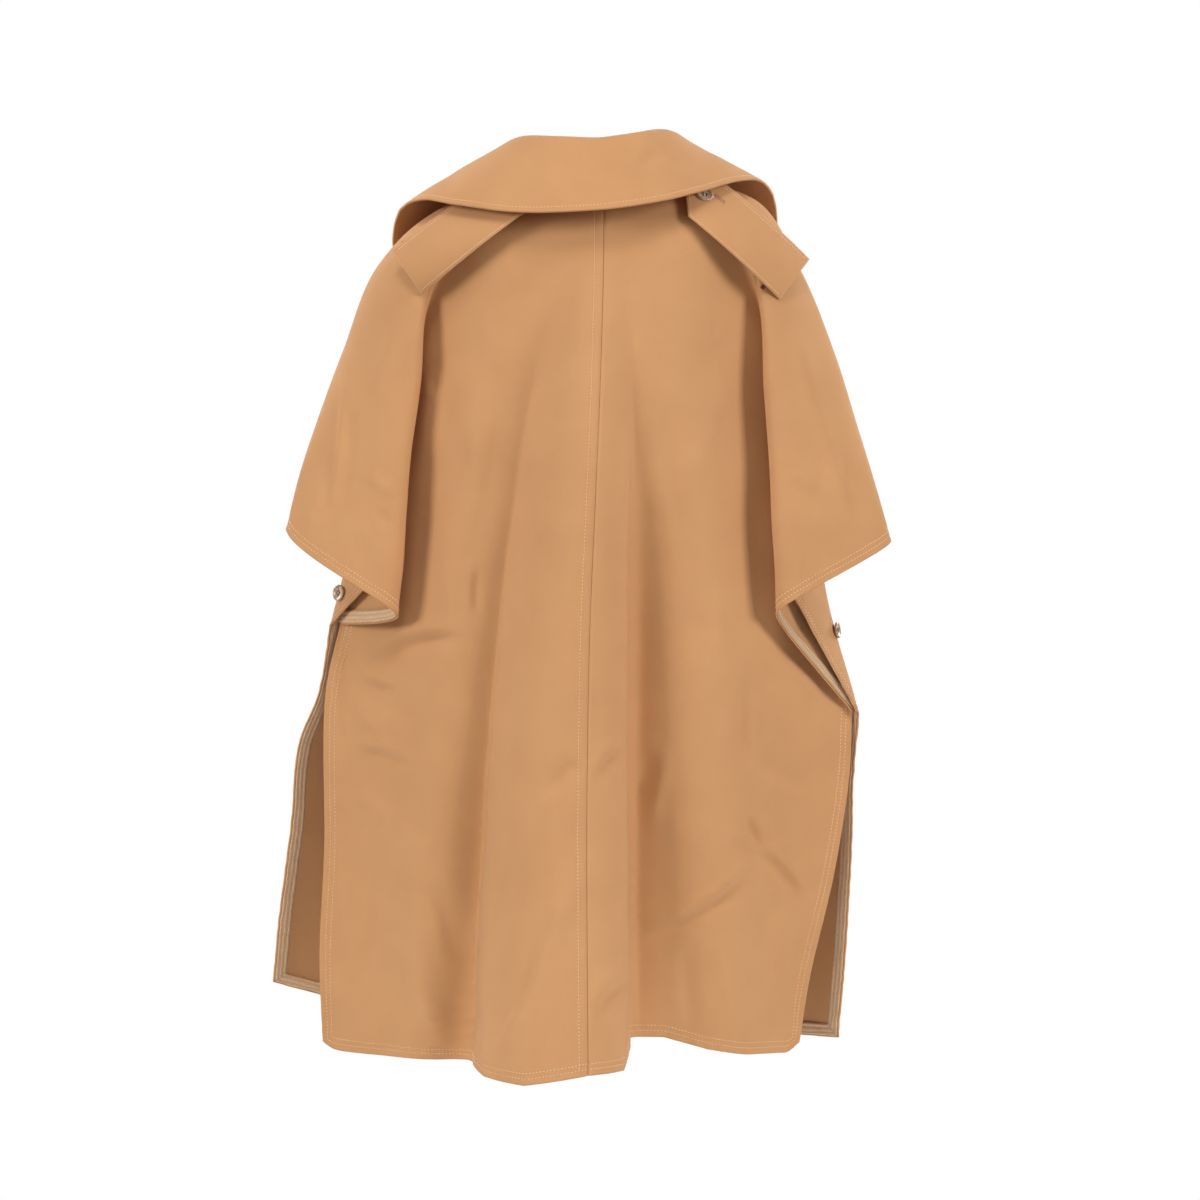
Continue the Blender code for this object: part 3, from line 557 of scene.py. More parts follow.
def thicken(piece, thickness):
    """Gives a piece its cloth's thickness, under the right side."""
    wall = piece.modifiers.new("cloth", "SOLIDIFY")
    wall.thickness = thickness * MM
    wall.offset = -1.0
    wall.use_even_offset = False


PANELS = {}
SWAYS = ((95.0, 1.3), (38.0, 0.45))    # how far apart the cloth's slow waves lie, and how high
ROWS_IN = (6.0, 11.0)                 # the topstitching's rows, in from a turned edge
SEAM_ROW = 8.5                        # and beside the centre-back seam, on the left half
NECK_HOLD, OVERARM_HOLD, SEAM_HOLD = 40, 22, 12  # how far the seams hold the cloth still
DIPS, DIP_WIDTH = (0.34, 0.30), 1.2   # how far the rows press the cloth down, and how broadly
PUCKER = (8.5, 0.75, 16)              # of the turned edges: spacing, height and reach
TURN_UNDER = 2.2
SEAM_TURN = ((2.0, 0.0), (2.4, 5.0))  # how far under and across the centre seam's allowance lies


def sew_panel(face, half, seed):
    """The half as it hangs, with its creases, its seam allowances and the dips beside its edges."""
    flip = (half == "left") == (face == "back")
    body, sleeve = cut_panel(face, half)
    rows, columns = body.shape[:2]
    tops, more = sleeve.shape[0], sleeve.shape[1] - 1
    body_ids = np.arange(rows * columns).reshape(rows, columns)
    sleeve_ids = np.empty((tops, more + 1), int)
    sleeve_ids[:, 0] = body_ids[:tops, -1]
    sleeve_ids[:, 1:] = rows * columns + np.arange(tops * more).reshape(tops, more)
    points = np.concatenate([body.reshape(-1, 3), sleeve[:, 1:].reshape(-1, 3)])
    faces = np.concatenate([quads(body_ids, flip), quads(sleeve_ids, flip)])
    facing = outward(points, faces)

    from_centre, from_neck = arc(body, 1), arc(body)
    over_sleeve, down_sleeve = arc(sleeve, 1), arc(sleeve)
    from_side = from_centre[:, -1:] - from_centre
    above_hem = from_neck[-1:] - from_neck
    above_end = down_sleeve[-1:] - down_sleeve
    from_overarm = over_sleeve[:, -1:] - over_sleeve

    lift = np.zeros(len(points))
    parts = (
        ("body", body_ids),
        ("return", sleeve_ids[:, 1:RETURN_COLUMNS]),
        ("outer", sleeve_ids[:, RETURN_COLUMNS:]),
    )
    for part, ids in parts:
        ids = ids.ravel()
        lift[ids] = pressed(points[ids], CREASES[(face, half, part)])
    for later, (size, height) in enumerate(SWAYS):
        lift += unevenness(points, size, height, seed + later)
    free = np.ones(len(points))
    free[body_ids] = ease(from_neck / NECK_HOLD)
    free[sleeve_ids] = np.minimum(ease(down_sleeve / NECK_HOLD), ease(from_overarm / OVERARM_HOLD))
    if face == "back":
        free[body_ids] *= ease(from_centre / SEAM_HOLD + 0.1)
    free[body_ids[:tops, -6:]] *= 0.35
    lift *= free

    # Pressed down along each stitch row, and puckered along the turned edge.
    def beside(distance, ids):
        dip = 0.0
        for row, depth in zip(ROWS_IN, DIPS):
            dip = dip - depth * np.exp(-(((distance - row) / DIP_WIDTH) ** 2))
        size, height, reach = PUCKER
        draw = unevenness(points[ids.ravel()], size, height, seed + 3).reshape(ids.shape)
        lift[ids] += dip + draw * np.exp(-((distance / reach) ** 2))

    beside(above_hem, body_ids)
    beside(above_end, sleeve_ids)
    beside(from_side[tops - 1:], body_ids[tops - 1:])
    if face == "back":
        lift[body_ids] -= 0.75 * np.exp(-((from_centre / 1.5) ** 2))
        if half == "left":
            lift[body_ids] -= 0.2 * np.exp(-(((from_centre - SEAM_ROW) / 1.4) ** 2))
    else:
        beside(from_centre, body_ids)
    lift[sleeve_ids] -= 0.5 * np.exp(-((from_overarm / 1.6) ** 2))
    points = points + facing * lift[:, None]
    facing = outward(points, faces)

    # Seam allowances turned in at the centre-back and overarm seams.
    ids, extra = [body_ids, sleeve_ids], [points]
    if face == "back":
        edge, way = points[body_ids[:, 0]], facing[body_ids[:, 0]]
        for under, across in SEAM_TURN[:2 if half == "left" else 1]:
            more_ids = sum(len(e) for e in extra) + np.arange(rows)[:, None]
            ids[0] = np.concatenate([more_ids, ids[0]], axis=1)
            extra.append(edge - way * under + (across, 0, 0))
    turn_in = points[sleeve_ids[:, -1]] - facing[sleeve_ids[:, -1]] * TURN_UNDER
    start = sum(len(e) for e in extra)
    ids[1] = np.concatenate([sleeve_ids, start + np.arange(tops)[:, None]], axis=1)
    extra.append(turn_in)
    every = np.concatenate(extra)
    faces = np.concatenate([quads(ids[0], flip), quads(ids[1], flip)])

    uv = np.zeros((len(every), 2))
    uv[body_ids] = np.stack([from_centre, from_neck], axis=-1)
    wide = from_centre[:tops, -1:] + over_sleeve
    uv[sleeve_ids] = np.stack([wide, down_sleeve], axis=-1)
    for column in range(ids[0].shape[1] - columns):
        uv[ids[0][:, column]] = uv[body_ids[:, 0]]
    uv[ids[1][:, -1]] = uv[sleeve_ids[:, -1]] + (TURN_UNDER, 0)
    made = piece_of(f"{face}_{half}_cloth", every, faces, uv)
    thicken(made, CLOTH)
    PANELS[(face, half)] = {
        "object": made, "flip": flip, "tops": tops,
        "points": points, "facing": facing, "body_ids": body_ids, "sleeve_ids": sleeve_ids,
        "body": points[body_ids], "sleeve": points[sleeve_ids],
        "body_facing": facing[body_ids], "sleeve_facing": facing[sleeve_ids],
        "above_hem": above_hem, "from_side": from_side, "above_end": above_end,
        "from_centre": from_centre, "over_sleeve": over_sleeve,
    }
    return made


def maths(tree, operation, *values):
    return put(tree, "ShaderNodeMath", dict(enumerate(values)), operation=operation).outputs[0]


def clouds(tree, where, scale, detail, **more):
    sockets = {"Vector": where, "Scale": scale, "Detail": detail, **more}
    return put(tree, "ShaderNodeTexNoise", sockets).outputs["Fac"]


def blend(tree, share, first, second):
    sockets = {0: share, 6: first, 7: second}
    return put(tree, "ShaderNodeMix", sockets, data_type="RGBA").outputs[2]


def bumps(tree, height, strength, distance):
    sockets = {"Strength": strength, "Distance": distance, "Height": height}
    return put(tree, "ShaderNodeBump", sockets).outputs["Normal"]


def ribbing(tree, where, scale, distortion, way, **more):
    sockets = {"Vector": where, "Scale": scale, "Distortion": distortion, **more}
    waves = put(tree, "ShaderNodeTexWave", sockets, wave_type="BANDS", bands_direction=way)
    return waves.outputs["Fac"]


def weave_group():
    """Fine twill ribs, slubs and slow shading from wear, over the cloth's own directions."""
    group = bpy.data.node_groups.new("twill_weave", "ShaderNodeTree")
    for name, way, kind, value in (
        ("Yarn", "INPUT", "Color", (0.6, 0.31, 0.14, 1)),
        ("Shade", "INPUT", "Color", (0.5, 0.25, 0.11, 1)),
        ("Rib", "INPUT", "Float", 700.0),
        ("Roughness", "INPUT", "Float", 0.8),
        ("Color", "OUTPUT", "Color", None),
        ("Roughness", "OUTPUT", "Float", None),
        ("Height", "OUTPUT", "Float", None),
    ):
        socket = group.interface.new_socket(name, in_out=way, socket_type="NodeSocket" + kind)
        if value is not None:
            socket.default_value = value
    given = put(group, "NodeGroupInput").outputs
    flat = put(group, "ShaderNodeUVMap", uv_map="cut").outputs[0]
    ribs = ribbing(
        group, flat, given["Rib"], 1.2, "DIAGONAL", **{"Detail": 2.0, "Detail Scale": 2.0}
    )
    slubs = clouds(group, flat, 900.0, 2.0)
    where = put(group, "ShaderNodeTexCoord").outputs["Object"]
    fine = maths(group, "ADD", ribs, slubs)
    slow = maths(group, "ADD", clouds(group, where, 26.0, 4.0), clouds(group, where, 5.0, 1.0))
    share = maths(group, "MULTIPLY_ADD", fine, 0.36, -0.22)
    share = maths(group, "MULTIPLY_ADD", slow, 0.42, share)
    tone = blend(group, share, given["Yarn"], given["Shade"])
    matt = maths(group, "MULTIPLY_ADD", slow, 0.09, given["Roughness"])
    put(group, "NodeGroupOutput", {"Color": tone, "Roughness": matt, "Height": fine})
    return group


TWILL = weave_group()


def woven(name, yarn, shade, rib, roughness, relief, sheen, sheen_tint):
    """A cloth finish: the weave feeds colour, roughness and bump, the sheen is the fibre's own."""
    made, tree = new_finish(name)
    given = {"Yarn": (*yarn, 1), "Shade": (*shade, 1), "Rib": rib, "Roughness": roughness}
    weave = put(tree, "ShaderNodeGroup", given, node_tree=TWILL).outputs
    return finished(made, {
        "Base Color": weave["Color"], "Roughness": weave["Roughness"],
        "Normal": bumps(tree, weave["Height"], relief, 0.0002),
        "Specular IOR Level": 0.25, "Sheen Weight": sheen,
        "Sheen Roughness": 0.55, "Sheen Tint": (*sheen_tint, 1),
    })


gabardine = woven(
    "gabardine", (0.690, 0.371, 0.167), (0.520, 0.258, 0.110), 720.0, 0.74, 0.5, 0.22,
    (1.0, 0.80, 0.62),
)
for half, seed in (("left", 1), ("right", 2)):
    made = sew_panel("back", half, seed)
    made.data.materials.append(gabardine)
    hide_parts(f"back_{half}")
    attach(made, "root")


# ------------------------------------------------------------------------------------------------
# The front halves. Cut and turned like the back, and nested inside it past the overarm seam. The
# right front laps over the left one and both front edges are turned under and topstitched.

LAP_HALF = 32.0
LAP_STEP, LAP_EASED, LAP_EASE = 6.0, 100, 60  # how far the lap stands out, and where that eases off
BASE["front"] = (
    (40, 55), (-45, 82), (-110, 104), (-200, 114), (-320, 113),
    (-450, 112), (-600, 116), (-820, 124),
)
BELL["front"] = (3.0, 1.0)
EDGE_PULL["front"] = -34.0
TURN_PULLS["front"] = (-14.0, -12.0, -10.0, -108.0, -18.0)
TUCK_RISE["front"] = 0.0
UPPER[("front", "left")] = (
    (0.00, 0.0, -45, (-68, 21, 13), (-70, 10, 18), (-71, 0, 21)),
    (0.12, 0.0, -80, (-136, 40, -32), (-144, 10, -20), (-145, -22, -13)),
    (0.27, 0.1, -131, (-193, 42, -84), (-200, 20, -72), (-201, -2, -62)),
    (0.45, 1.0, -200, (-207, -2, -170), (-184, -42, -160), (-234, -6, -143)),
    (0.63, 1.0, -272, (-214, -11, -245), (-177, -57, -228), (-257, -14, -207)),
    (0.82, 1.0, -352, (-228, -11, -332), (-182, -59, -292), (-274, -26, -262)),
    (1.00, 1.0, -430, (-246, -9, -404), (-189, -58, -345), (-285, -38, -312)),
)
UPPER[("front", "right")] = (
    (0.00, 0.0, -45, (93, 21, 13), (95, 10, 18), (96, 0, 21)),
    (0.12, 0.0, -80, (148, 40, -26), (156, 10, -12), (158, -22, -4)),
    (0.27, 0.1, -131, (190, 42, -86), (198, 20, -74), (199, -4, -65)),
    (0.45, 1.0, -200, (206, -2, -186), (186, -42, -165), (231, -6, -143)),
    (0.63, 1.0, -272, (213, -11, -278), (178, -57, -240), (253, -14, -215)),
    (0.82, 1.0, -352, (225, -11, -380), (182, -59, -312), (270, -26, -274)),
    (1.00, 1.0, -430, (255, -9.5, -488), (185, -60, -368), (283, -38, -324)),
)
LOWER[("front", "left")] = (
    (0.00, 1.0, -430, (-246, -9, -404)),
    (0.17, 0.2, -495, (-258, 10, -466)),
    (0.33, 0.0, -555, (-279, 26, -515)),
    (0.55, 0.0, -635, (-288, 34, -598)),
    (0.80, 0.0, -728, (-300, 41, -684)),
    (1.00, 0.0, -808, (-306, 44, -748)),
)
LOWER[("front", "right")] = (
    (0.0, 1.0, -430, (255, -9.5, -488)),
    (0.2, 0.2, -505, (252, 12, -545)),
    (0.5, 0.0, -610, (251, 28, -625)),
    (0.8, 0.0, -722, (245, 36, -728)),
    (1.0, 0.0, -808, (239, 40, -801)),
)
RIPPLES["front"] = (
    (-160, -105, -810, -150, 48, 6, 24),
    (-160, 112, -810, 140, 48, 6, 22),
    (-330, -20, -810, -30, 55, 0, 10),
)
SPACES[("front", "left")] = (96,)
SPACES[("front", "right")] = (96,)
CREASES[("front", "left", "body")] = (
    (-226, -452, -190, -470, 3, 6, 9, 3.4),
    (-232, -520, -196, -512, -3, 6, 9, 3.1),
    (-120, -160, -96, -262, 6, 12, 18, 2.8),
    (-70, -260, -92, -390, -6, 11, 18, -2.8),
    (-200, -600, -168, -662, 5, 9, 13, 2.5),
    (-110, -640, -136, -760, -6, 9, 14, 3.4),
    (-62, -700, -40, -790, 4, 8, 12, 2.8),
)
CREASES[("front", "left", "outer")] = (
    (-222, -200, -232, -300, 4, 8, 12, 2.5),
    (-206, -250, -190, -310, -3, 8, 10, -1.9),
)
CREASES[("front", "left", "return")] = ((-204, -300, -190, -352, 4, 10, 12, 1.0),)
CREASES[("front", "right", "body")] = (
    (216, -500, 184, -526, -3, 6, 9, 3.1),
    (226, -560, 188, -590, 4, 6, 10, 3.0),
    (124, -170, 100, -280, -6, 12, 18, 2.5),
    (60, -250, 84, -380, 6, 11, 18, -2.8),
    (180, -650, 150, -710, -5, 9, 13, 2.4),
    (96, -660, 120, -780, 5, 9, 14, 3.4),
    (30, -500, 66, -470, 4, 8, 12, 2.4),
)
CREASES[("front", "right", "outer")] = (
    (218, -206, 236, -300, -4, 8, 12, 2.5),
    (206, -262, 194, -330, 3, 8, 10, -1.9),
)
CREASES[("front", "right", "return")] = ((206, -340, 196, -400, -4, 10, 12, 1.0),)

for half, seed in (("left", 5), ("right", 6)):
    made = sew_panel("front", half, seed)
    made.data.materials.append(gabardine)
    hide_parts(f"front_{half}")
    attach(made, "root")


# ------------------------------------------------------------------------------------------------
# The tape. A ribbed woven tape 13 mm wide covers the turned edges on the wrong side: along each
# sleeve end, down the side edge and along the hem, mitred at the corners.

TAPE_CLOTH = 0.8
TAPE_CLEAR = 0.4
TAPE_WIDTH = 13
HEM_APART = 700  # keeps the hem's stretch apart from the side's in the tape's flat map


def ribbed_finish():
    made, tree = new_finish("ribbed_tape")
    flat = put(tree, "ShaderNodeUVMap", uv_map="cut").outputs[0]
    height = maths(
        tree, "ADD", ribbing(tree, flat, 260.0, 0.4, "X"), ribbing(tree, flat, 72.0, 0.2, "Y")
    )
    share = maths(tree, "MULTIPLY", height, clouds(tree, flat, 350.0, 3.0))
    return finished(made, {
        "Base Color": blend(tree, share, (0.62, 0.370, 0.195, 1), (0.88, 0.620, 0.385, 1)),
        "Roughness": maths(tree, "MULTIPLY_ADD", share, 0.18, 0.42),
        "Normal": bumps(tree, height, 0.8, 0.0004), "Sheen Weight": 0.15,
    })


ribbed = ribbed_finish()
for (face, half), panel in PANELS.items():
    body_ids, sleeve_ids, tops = panel["body_ids"], panel["sleeve_ids"], panel["tops"]
    strips = (
        sleeve_ids[-EDGES:-1, :-3],
        body_ids[tops - EDGES:tops, -EDGES:-1],
        body_ids[tops - 1:, -EDGES:-1],
        body_ids[-EDGES:-1, 3:1 - EDGES],
    )
    faces = np.concatenate([quads(s, panel["flip"]) for s in strips])
    faces = np.unique(faces, axis=0)
    link = np.stack([body_ids[tops - EDGES:tops - 1, -2], body_ids[tops - EDGES:tops - 1, -1]], 1)
    faces = np.concatenate([faces, quads(link, panel["flip"])])
    faces = faces[~np.isin(faces, body_ids[-1]).any(axis=1)]
    spread = np.zeros((len(panel["points"]), 2))
    spread[body_ids] = np.stack([arc(panel["body"]), panel["from_side"]], axis=-1)
    by_hem = panel["above_hem"] < np.minimum(panel["from_side"], TAPE_WIDTH + 1)
    hem_uv = np.stack([panel["from_centre"] + HEM_APART, panel["above_hem"]], axis=-1)
    spread[body_ids] = np.where(by_hem[..., None], hem_uv, spread[body_ids])
    corner_rows = np.arange(tops - EDGES, tops - 1)
    above_corner = panel["above_hem"][corner_rows] - panel["above_hem"][tops - 1]
    turn = above_corner > panel["from_side"][corner_rows]
    corner_uv = np.stack([-panel["from_side"][corner_rows], above_corner], axis=-1)
    spread[body_ids[corner_rows]] = np.where(
        turn[..., None], corner_uv, spread[body_ids[corner_rows]]
    )
    sleeve_uv = np.stack([panel["over_sleeve"], panel["above_end"]], axis=-1)
    spread[sleeve_ids[:, 1:]] = sleeve_uv[:, 1:]
    used, order = np.unique(faces, return_inverse=True)
    points = panel["points"][used] - panel["facing"][used] * (CLOTH + TAPE_CLEAR)
    made = piece_of(f"{face}_{half}_tape", points, order.reshape(-1, 4), spread[used])
    thicken(made, TAPE_CLOTH)
    made.data.materials.append(ribbed)
    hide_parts(f"tape_{face}_{half}")
    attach(made, "root")


# ------------------------------------------------------------------------------------------------
# The topstitching. Lockstitch in a slightly lighter thread, about 3 mm to a stitch: two rows round
# every turned edge of a half, one beside the centre-back seam.

STITCH, PITCH, THREAD = 2.0, 3.3, 0.42
PROUD = 0.1          # how far a stitch's middle stands above the cloth
CORNER_CLEAR = 1.5
thread = woven(
    "topstitch_thread", (0.92, 0.67, 0.44), (0.82, 0.54, 0.33), 2500.0, 0.5, 0.2, 0.3,
    (1.0, 0.85, 0.7),
)


def unit(vectors):
    return vectors / np.linalg.norm(vectors, axis=-1, keepdims=True)


def stitch_mesh(name, centres, ways, facings, length=STITCH, radius=THREAD):
    """One short, round-ended bar of thread at each centre, half sunk in the cloth."""
    centres, ways, facings = (np.asarray(v, float) for v in (centres, ways, facings))
    ways = unit(ways - facings * np.sum(ways * facings, axis=1, keepdims=True))
    sides = np.cross(ways, facings)
    points, faces = [centres - ways * length / 2], []
    for end in (-0.3, 0.3):
        for a in np.arange(5) * 2 * np.pi / 5:
            ring = sides * np.cos(a) + facings * np.sin(a)
            points.append(centres + ways * length * end + ring * radius)
    points.append(centres + ways * length / 2)
    for a in range(5):
        b = (a + 1) % 5
        faces += [(0, 1 + a, 1 + b), (11, 6 + b, 6 + a)]
        faces += [(1 + a, 6 + a, 6 + b), (1 + a, 6 + b, 1 + b)]
    points = np.stack(points, axis=1)
    faces = np.array(faces)[None] + np.arange(len(centres))[:, None, None] * 12
    points = points.reshape(-1, 3)
    return piece_of(name, points, faces.reshape(-1, 3), points[:, [0, 2]])


def from_end(lines, facings, distance):
    """On each line, the point this far back from its end, and the way the cloth faces there."""
    places, ways = [], []
    for line, facing in zip(lines, facings):
        back = arc(line[::-1])
        places.append(at_lengths(line[::-1], back, distance))
        ways.append(at_lengths(facing[::-1], back, distance))
    return np.array(places), unit(np.array(ways))


def edge_row(panel, inset):
    """The line this far in from the free edge: along the sleeve end, the side and the hem."""
    tops = panel["tops"]
    body, facing = panel["body"], panel["body_facing"]
    columns = body.transpose(1, 0, 2), facing.transpose(1, 0, 2)
    sleeve = (panel[key].transpose(1, 0, 2)[::-1] for key in ("sleeve", "sleeve_facing"))
    end, end_facing = from_end(*sleeve, inset)
    above, above_facing = from_end(columns[0][:, :tops], columns[1][:, :tops], inset)
    top, top_facing = from_end([above], [above_facing], inset)
    side, side_facing = from_end(body[tops:], facing[tops:], inset)
    deep = panel["above_hem"][tops:, -3] > inset + CORNER_CLEAR
    hem, hem_facing = from_end(*columns, inset)
    low, low_facing = from_end([hem], [hem_facing], inset)
    inside = arc(hem[::-1])[::-1] > inset + CORNER_CLEAR
    line = [end[2:], top, side[deep], low, hem[inside][::-1]]
    facing = [end_facing[2:], top_facing, side_facing[deep], low_facing, hem_facing[inside][::-1]]
    return np.concatenate(line), np.concatenate(facing)


def stitches_on(line, facing, lift=PROUD, pitch=PITCH):
    """Centres, directions and facings of the stitches of one row."""
    length = arc(line)
    at = np.arange(pitch / 2, length[-1] - pitch / 2, pitch)
    places, ahead = along(line, at), along(line, at + 0.8)
    faces = unit(at_lengths(facing, length, at))
    return places + faces * lift, unit(ahead - places + 1e-9), faces


for (face, half), panel in PANELS.items():
    rows = []
    for inset in ROWS_IN:
        line, facing = edge_row(panel, inset)
        rows.append(stitches_on(line, facing))
        under = CLOTH + TAPE_CLEAR + TAPE_CLOTH + 0.05
        places, ways, faces = stitches_on(line, facing, -under)
        rows.append((places, ways, -faces))
    flipped = panel["body"][:, ::-1]
    flipped_facing = panel["body_facing"][:, ::-1]
    if face == "front":
        for inset in ROWS_IN:
            line, facing = from_end(flipped, flipped_facing, inset)
            rows.append(stitches_on(line[3:-3], facing[3:-3]))
    elif half == "left":
        line, facing = from_end(flipped, flipped_facing, SEAM_ROW)
        rows.append(stitches_on(line[3:-3], facing[3:-3]))
    places, ways, faces = (np.concatenate(v) for v in zip(*rows))
    made = stitch_mesh(f"{face}_{half}_topstitching", places, ways, faces)
    made.data.materials.append(thread)
    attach(made, "root")


# ------------------------------------------------------------------------------------------------
# The collar. Stand and fall in one, two layers of gabardine, sewn round the neck edge. It stands,
# rolls over and falls wide onto the shoulders, with one row of topstitching round its edge.

COLLAR_CLOTH = 2.4
STAND_OUT, STAND_RISE = 12, 22    # pulls of the stand where it leaves the neck edge
ROLL_IN, ROLL_OUT = 14, 16        # pulls across the roll, of the stand and of the fall
FALL_PULL, FALL_DROP = 0.85, 10   # pull of the fall at its edge
FALL_FROM_EDGE = np.array([8, 6.5, 5, 3.5, 2.2, 1, 0])  # levels close together at the edge
LEVELS, STAND_STEPS, FALL_STEPS, FALL_LEVELS = 185, 14, 80, 32
COLLAR_ROW = 5.0
COLLAR_PUCKER = (7.0, 0.35, 9)    # spacing, height and reach
COLLAR = (  # share of the neck edge from the back's centre, roll, edge
    (-1.00, (-14, 100, -46), (-92, 132, -122)),
    (-0.87, (-48, 92, -24), (-138, 106, -100)),
    (-0.70, (-80, 58, 14), (-170, 66, -72)),
    (-0.52, (-91, 6, 37), (-188, 18, -38)),
    (-0.42, (-88, -18, 40), (-179, -14, -13)),
    (-0.32, (-80, -38, 45), (-157, -48, -7)),
    (-0.22, (-64, -58, 50), (-124, -80, -15)),
    (-0.11, (-32, -78, 47), (-68, -106, -25)),
    (0.00, (10, -86, 45), (6, -114, -24)),
    (0.11, (46, -78, 51), (62, -108, -16)),
    (0.22, (72, -56, 56), (104, -84, -3)),
    (0.32, (86, -34, 52), (136, -52, 10)),
    (0.42, (92, -12, 49), (160, -18, 15)),
    (0.52, (96, 12, 46), (174, 18, 6)),
    (0.70, (96, 58, 20), (178, 66, -42)),
    (0.87, (70, 92, -20), (152, 106, -86)),
    (1.00, (38, 100, -46), (114, 132, -122)),
)
COLLAR_CREASES = (  # as for the halves
    (47, 18, 64, 38, 2, 6, 9, -2.2),
    (62, 34, 96, 20, 3, 6, 10, -1.5),
    (-60, 34, -96, 8, 3, 9, 14, 1.4),
    (-120, 18, -138, -6, 2, 8, 10, -1.2),
    (112, 34, 136, 22, 2, 7, 10, 1.2),
    (-20, 8, 20, 4, 3, 10, 12, 1.0),
)
neck = {}
for half in ("left", "right"):
    back, front = PANELS[("back", half)], PANELS[("front", half)]
    line = [back["body"][0], back["sleeve"][0], front["sleeve"][0][::-1], front["body"][0][::-1]]
    line = np.concatenate(line)
    neck[half] = along(line, np.linspace(0, arc(line)[-1] - LAP_HALF, 240))
share = np.linspace(-1, 1, LEVELS)
levels = []
for f, spots in zip(share, smooth(COLLAR, share)):
    roll, edge = spots[:3], spots[3:]
    line = neck["left" if f < 0 else "right"]
    foot = along(line, [abs(f) * arc(line)[-1]])[0] + (0, 0, SEAM_GAP + 0.3)
    out = unit((edge - roll) * (1, 1, 0))
    rise = unit(roll - foot) * STAND_OUT + (0, 0, STAND_RISE)
    stand = run(foot, rise, roll, out * ROLL_IN, STAND_STEPS)
    drop = (edge - roll) * FALL_PULL - (0, 0, FALL_DROP)
    fall = run(roll, out * ROLL_OUT - (0, 0, 1), edge, drop, FALL_STEPS)
    reach = arc(fall)[-1]
    near_edge = reach - FALL_FROM_EDGE
    places = [np.linspace(0, near_edge[0], FALL_LEVELS), near_edge[1:]]
    levels.append(np.concatenate([stand[:-1], along(fall, np.concatenate(places))]))
levels = np.array(levels)
ids = np.arange(levels.shape[0] * levels.shape[1]).reshape(levels.shape[:2])
points = levels.reshape(-1, 3)
faces = quads(ids, True)
points = points + outward(points, faces) * COLLAR_CLOTH
facing = outward(points, faces)
inset = arc(levels, 1)
inset = (inset[:, -1:] - inset).ravel()
lift = pressed(points, COLLAR_CREASES) * (points[:, 1] < 30) * ease(inset / 20 + 0.3)
lift += unevenness(points, 60.0, 0.9, 11) + unevenness(points, 22.0, 0.3, 12)
lift *= np.repeat(ease(np.arange(levels.shape[1]) / 12)[None], len(levels), 0).ravel()
lift -= 0.3 * np.exp(-(((inset - COLLAR_ROW) / DIP_WIDTH) ** 2))
size, height, reach = COLLAR_PUCKER
lift += unevenness(points, size, height, 13) * np.exp(-((inset / reach) ** 2))
points = points + facing * lift[:, None]
facing = outward(points, faces)
flat = np.stack([np.broadcast_to(share[:, None] * 300, ids.shape).ravel(), inset], axis=1)
collar = piece_of("collar_cloth", points, faces, flat)
thicken(collar, COLLAR_CLOTH)
collar.data.materials.append(gabardine)
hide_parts("collar")
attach(collar, "root")
levels, level_facing = points[ids], facing[ids]
line, line_facing = from_end(levels, level_facing, COLLAR_ROW)
rows = [stitches_on(line[4:-4], line_facing[4:-4])]
for way in (1, -1):  # towards one end of the collar, then towards the other
    ends, end_facing = (v[::way].transpose(1, 0, 2)[16:-4] for v in (levels, level_facing))
    rows.append(stitches_on(*from_end(ends, end_facing, COLLAR_ROW)))
places, ways, faces = (np.concatenate(v) for v in zip(*rows))
collar_rows = stitch_mesh("collar_topstitching", places, ways, faces)
collar_rows.data.materials.append(thread)
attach(collar_rows, "root")


# ------------------------------------------------------------------------------------------------
# The epaulettes. Doubled straps of gabardine on the back of each shoulder, caught down at the outer
# end and buttoned near the pointed inner end, stitched 3 mm inside their edge.

STRAP_CLOTH = 2.4
STRAP_CLEAR = 0.5
STRAP_WIDTH = 50.0
STRAP_POINT = 24.0
STRAP_UNDER = 0.3  # what the visible strap is thinner by, so that it clears the back
STRAP_ROW, STRAP_PITCH = 3.0, 2.8
STRAP_ROLL, STRAP_DIP = 0.9, 0.28  # how far the strap's edge and its stitch row lie lower
STRAP_PUCKER = (6.5, 0.3, 7)       # spacing, height and reach
STRAPS = {  # lower outer corner in x, z; lengthwise; widthwise; length to the corners of the point
    "left": ((-156, -95), (0.806, 0.591), (-0.567, 0.824), 122),
    "right": ((176, -99), (-0.762, 0.647), (0.60, 0.80), 112),
}
TACKS = {"left": (10.5, 53.5), "right": (17.0, -1.6)}  # place along and across the strap
TACK_LENGTH, TACK_STITCHES, TACK_PITCH = 4.6, 5, 0.7
HOLE_FROM, HOLE_TO, HOLE_HALF = 9.0, 21.5, 0.95        # buttonhole, from the button's middle
HOLE_PITCH = 0.6
buttonhole_thread = woven(
    "buttonhole_thread", (0.56, 0.27, 0.17), (0.46, 0.20, 0.12), 2500.0, 0.45, 0.2, 0.3,
    (1.0, 0.8, 0.7),
)
tack_thread = woven(
    "tack_thread", (0.16, 0.07, 0.04), (0.11, 0.05, 0.03), 2500.0, 0.55, 0.2, 0.2, (1.0, 0.8, 0.7)
)


def tree_of(objects):
    points, faces = [], []
    for obj in objects:
        first = len(points)
        points.extend(v.co.copy() for v in obj.data.vertices)
        faces.extend([first + i for i in p.vertices] for p in obj.data.polygons)
    return BVHTree.FromPolygons(points, faces)


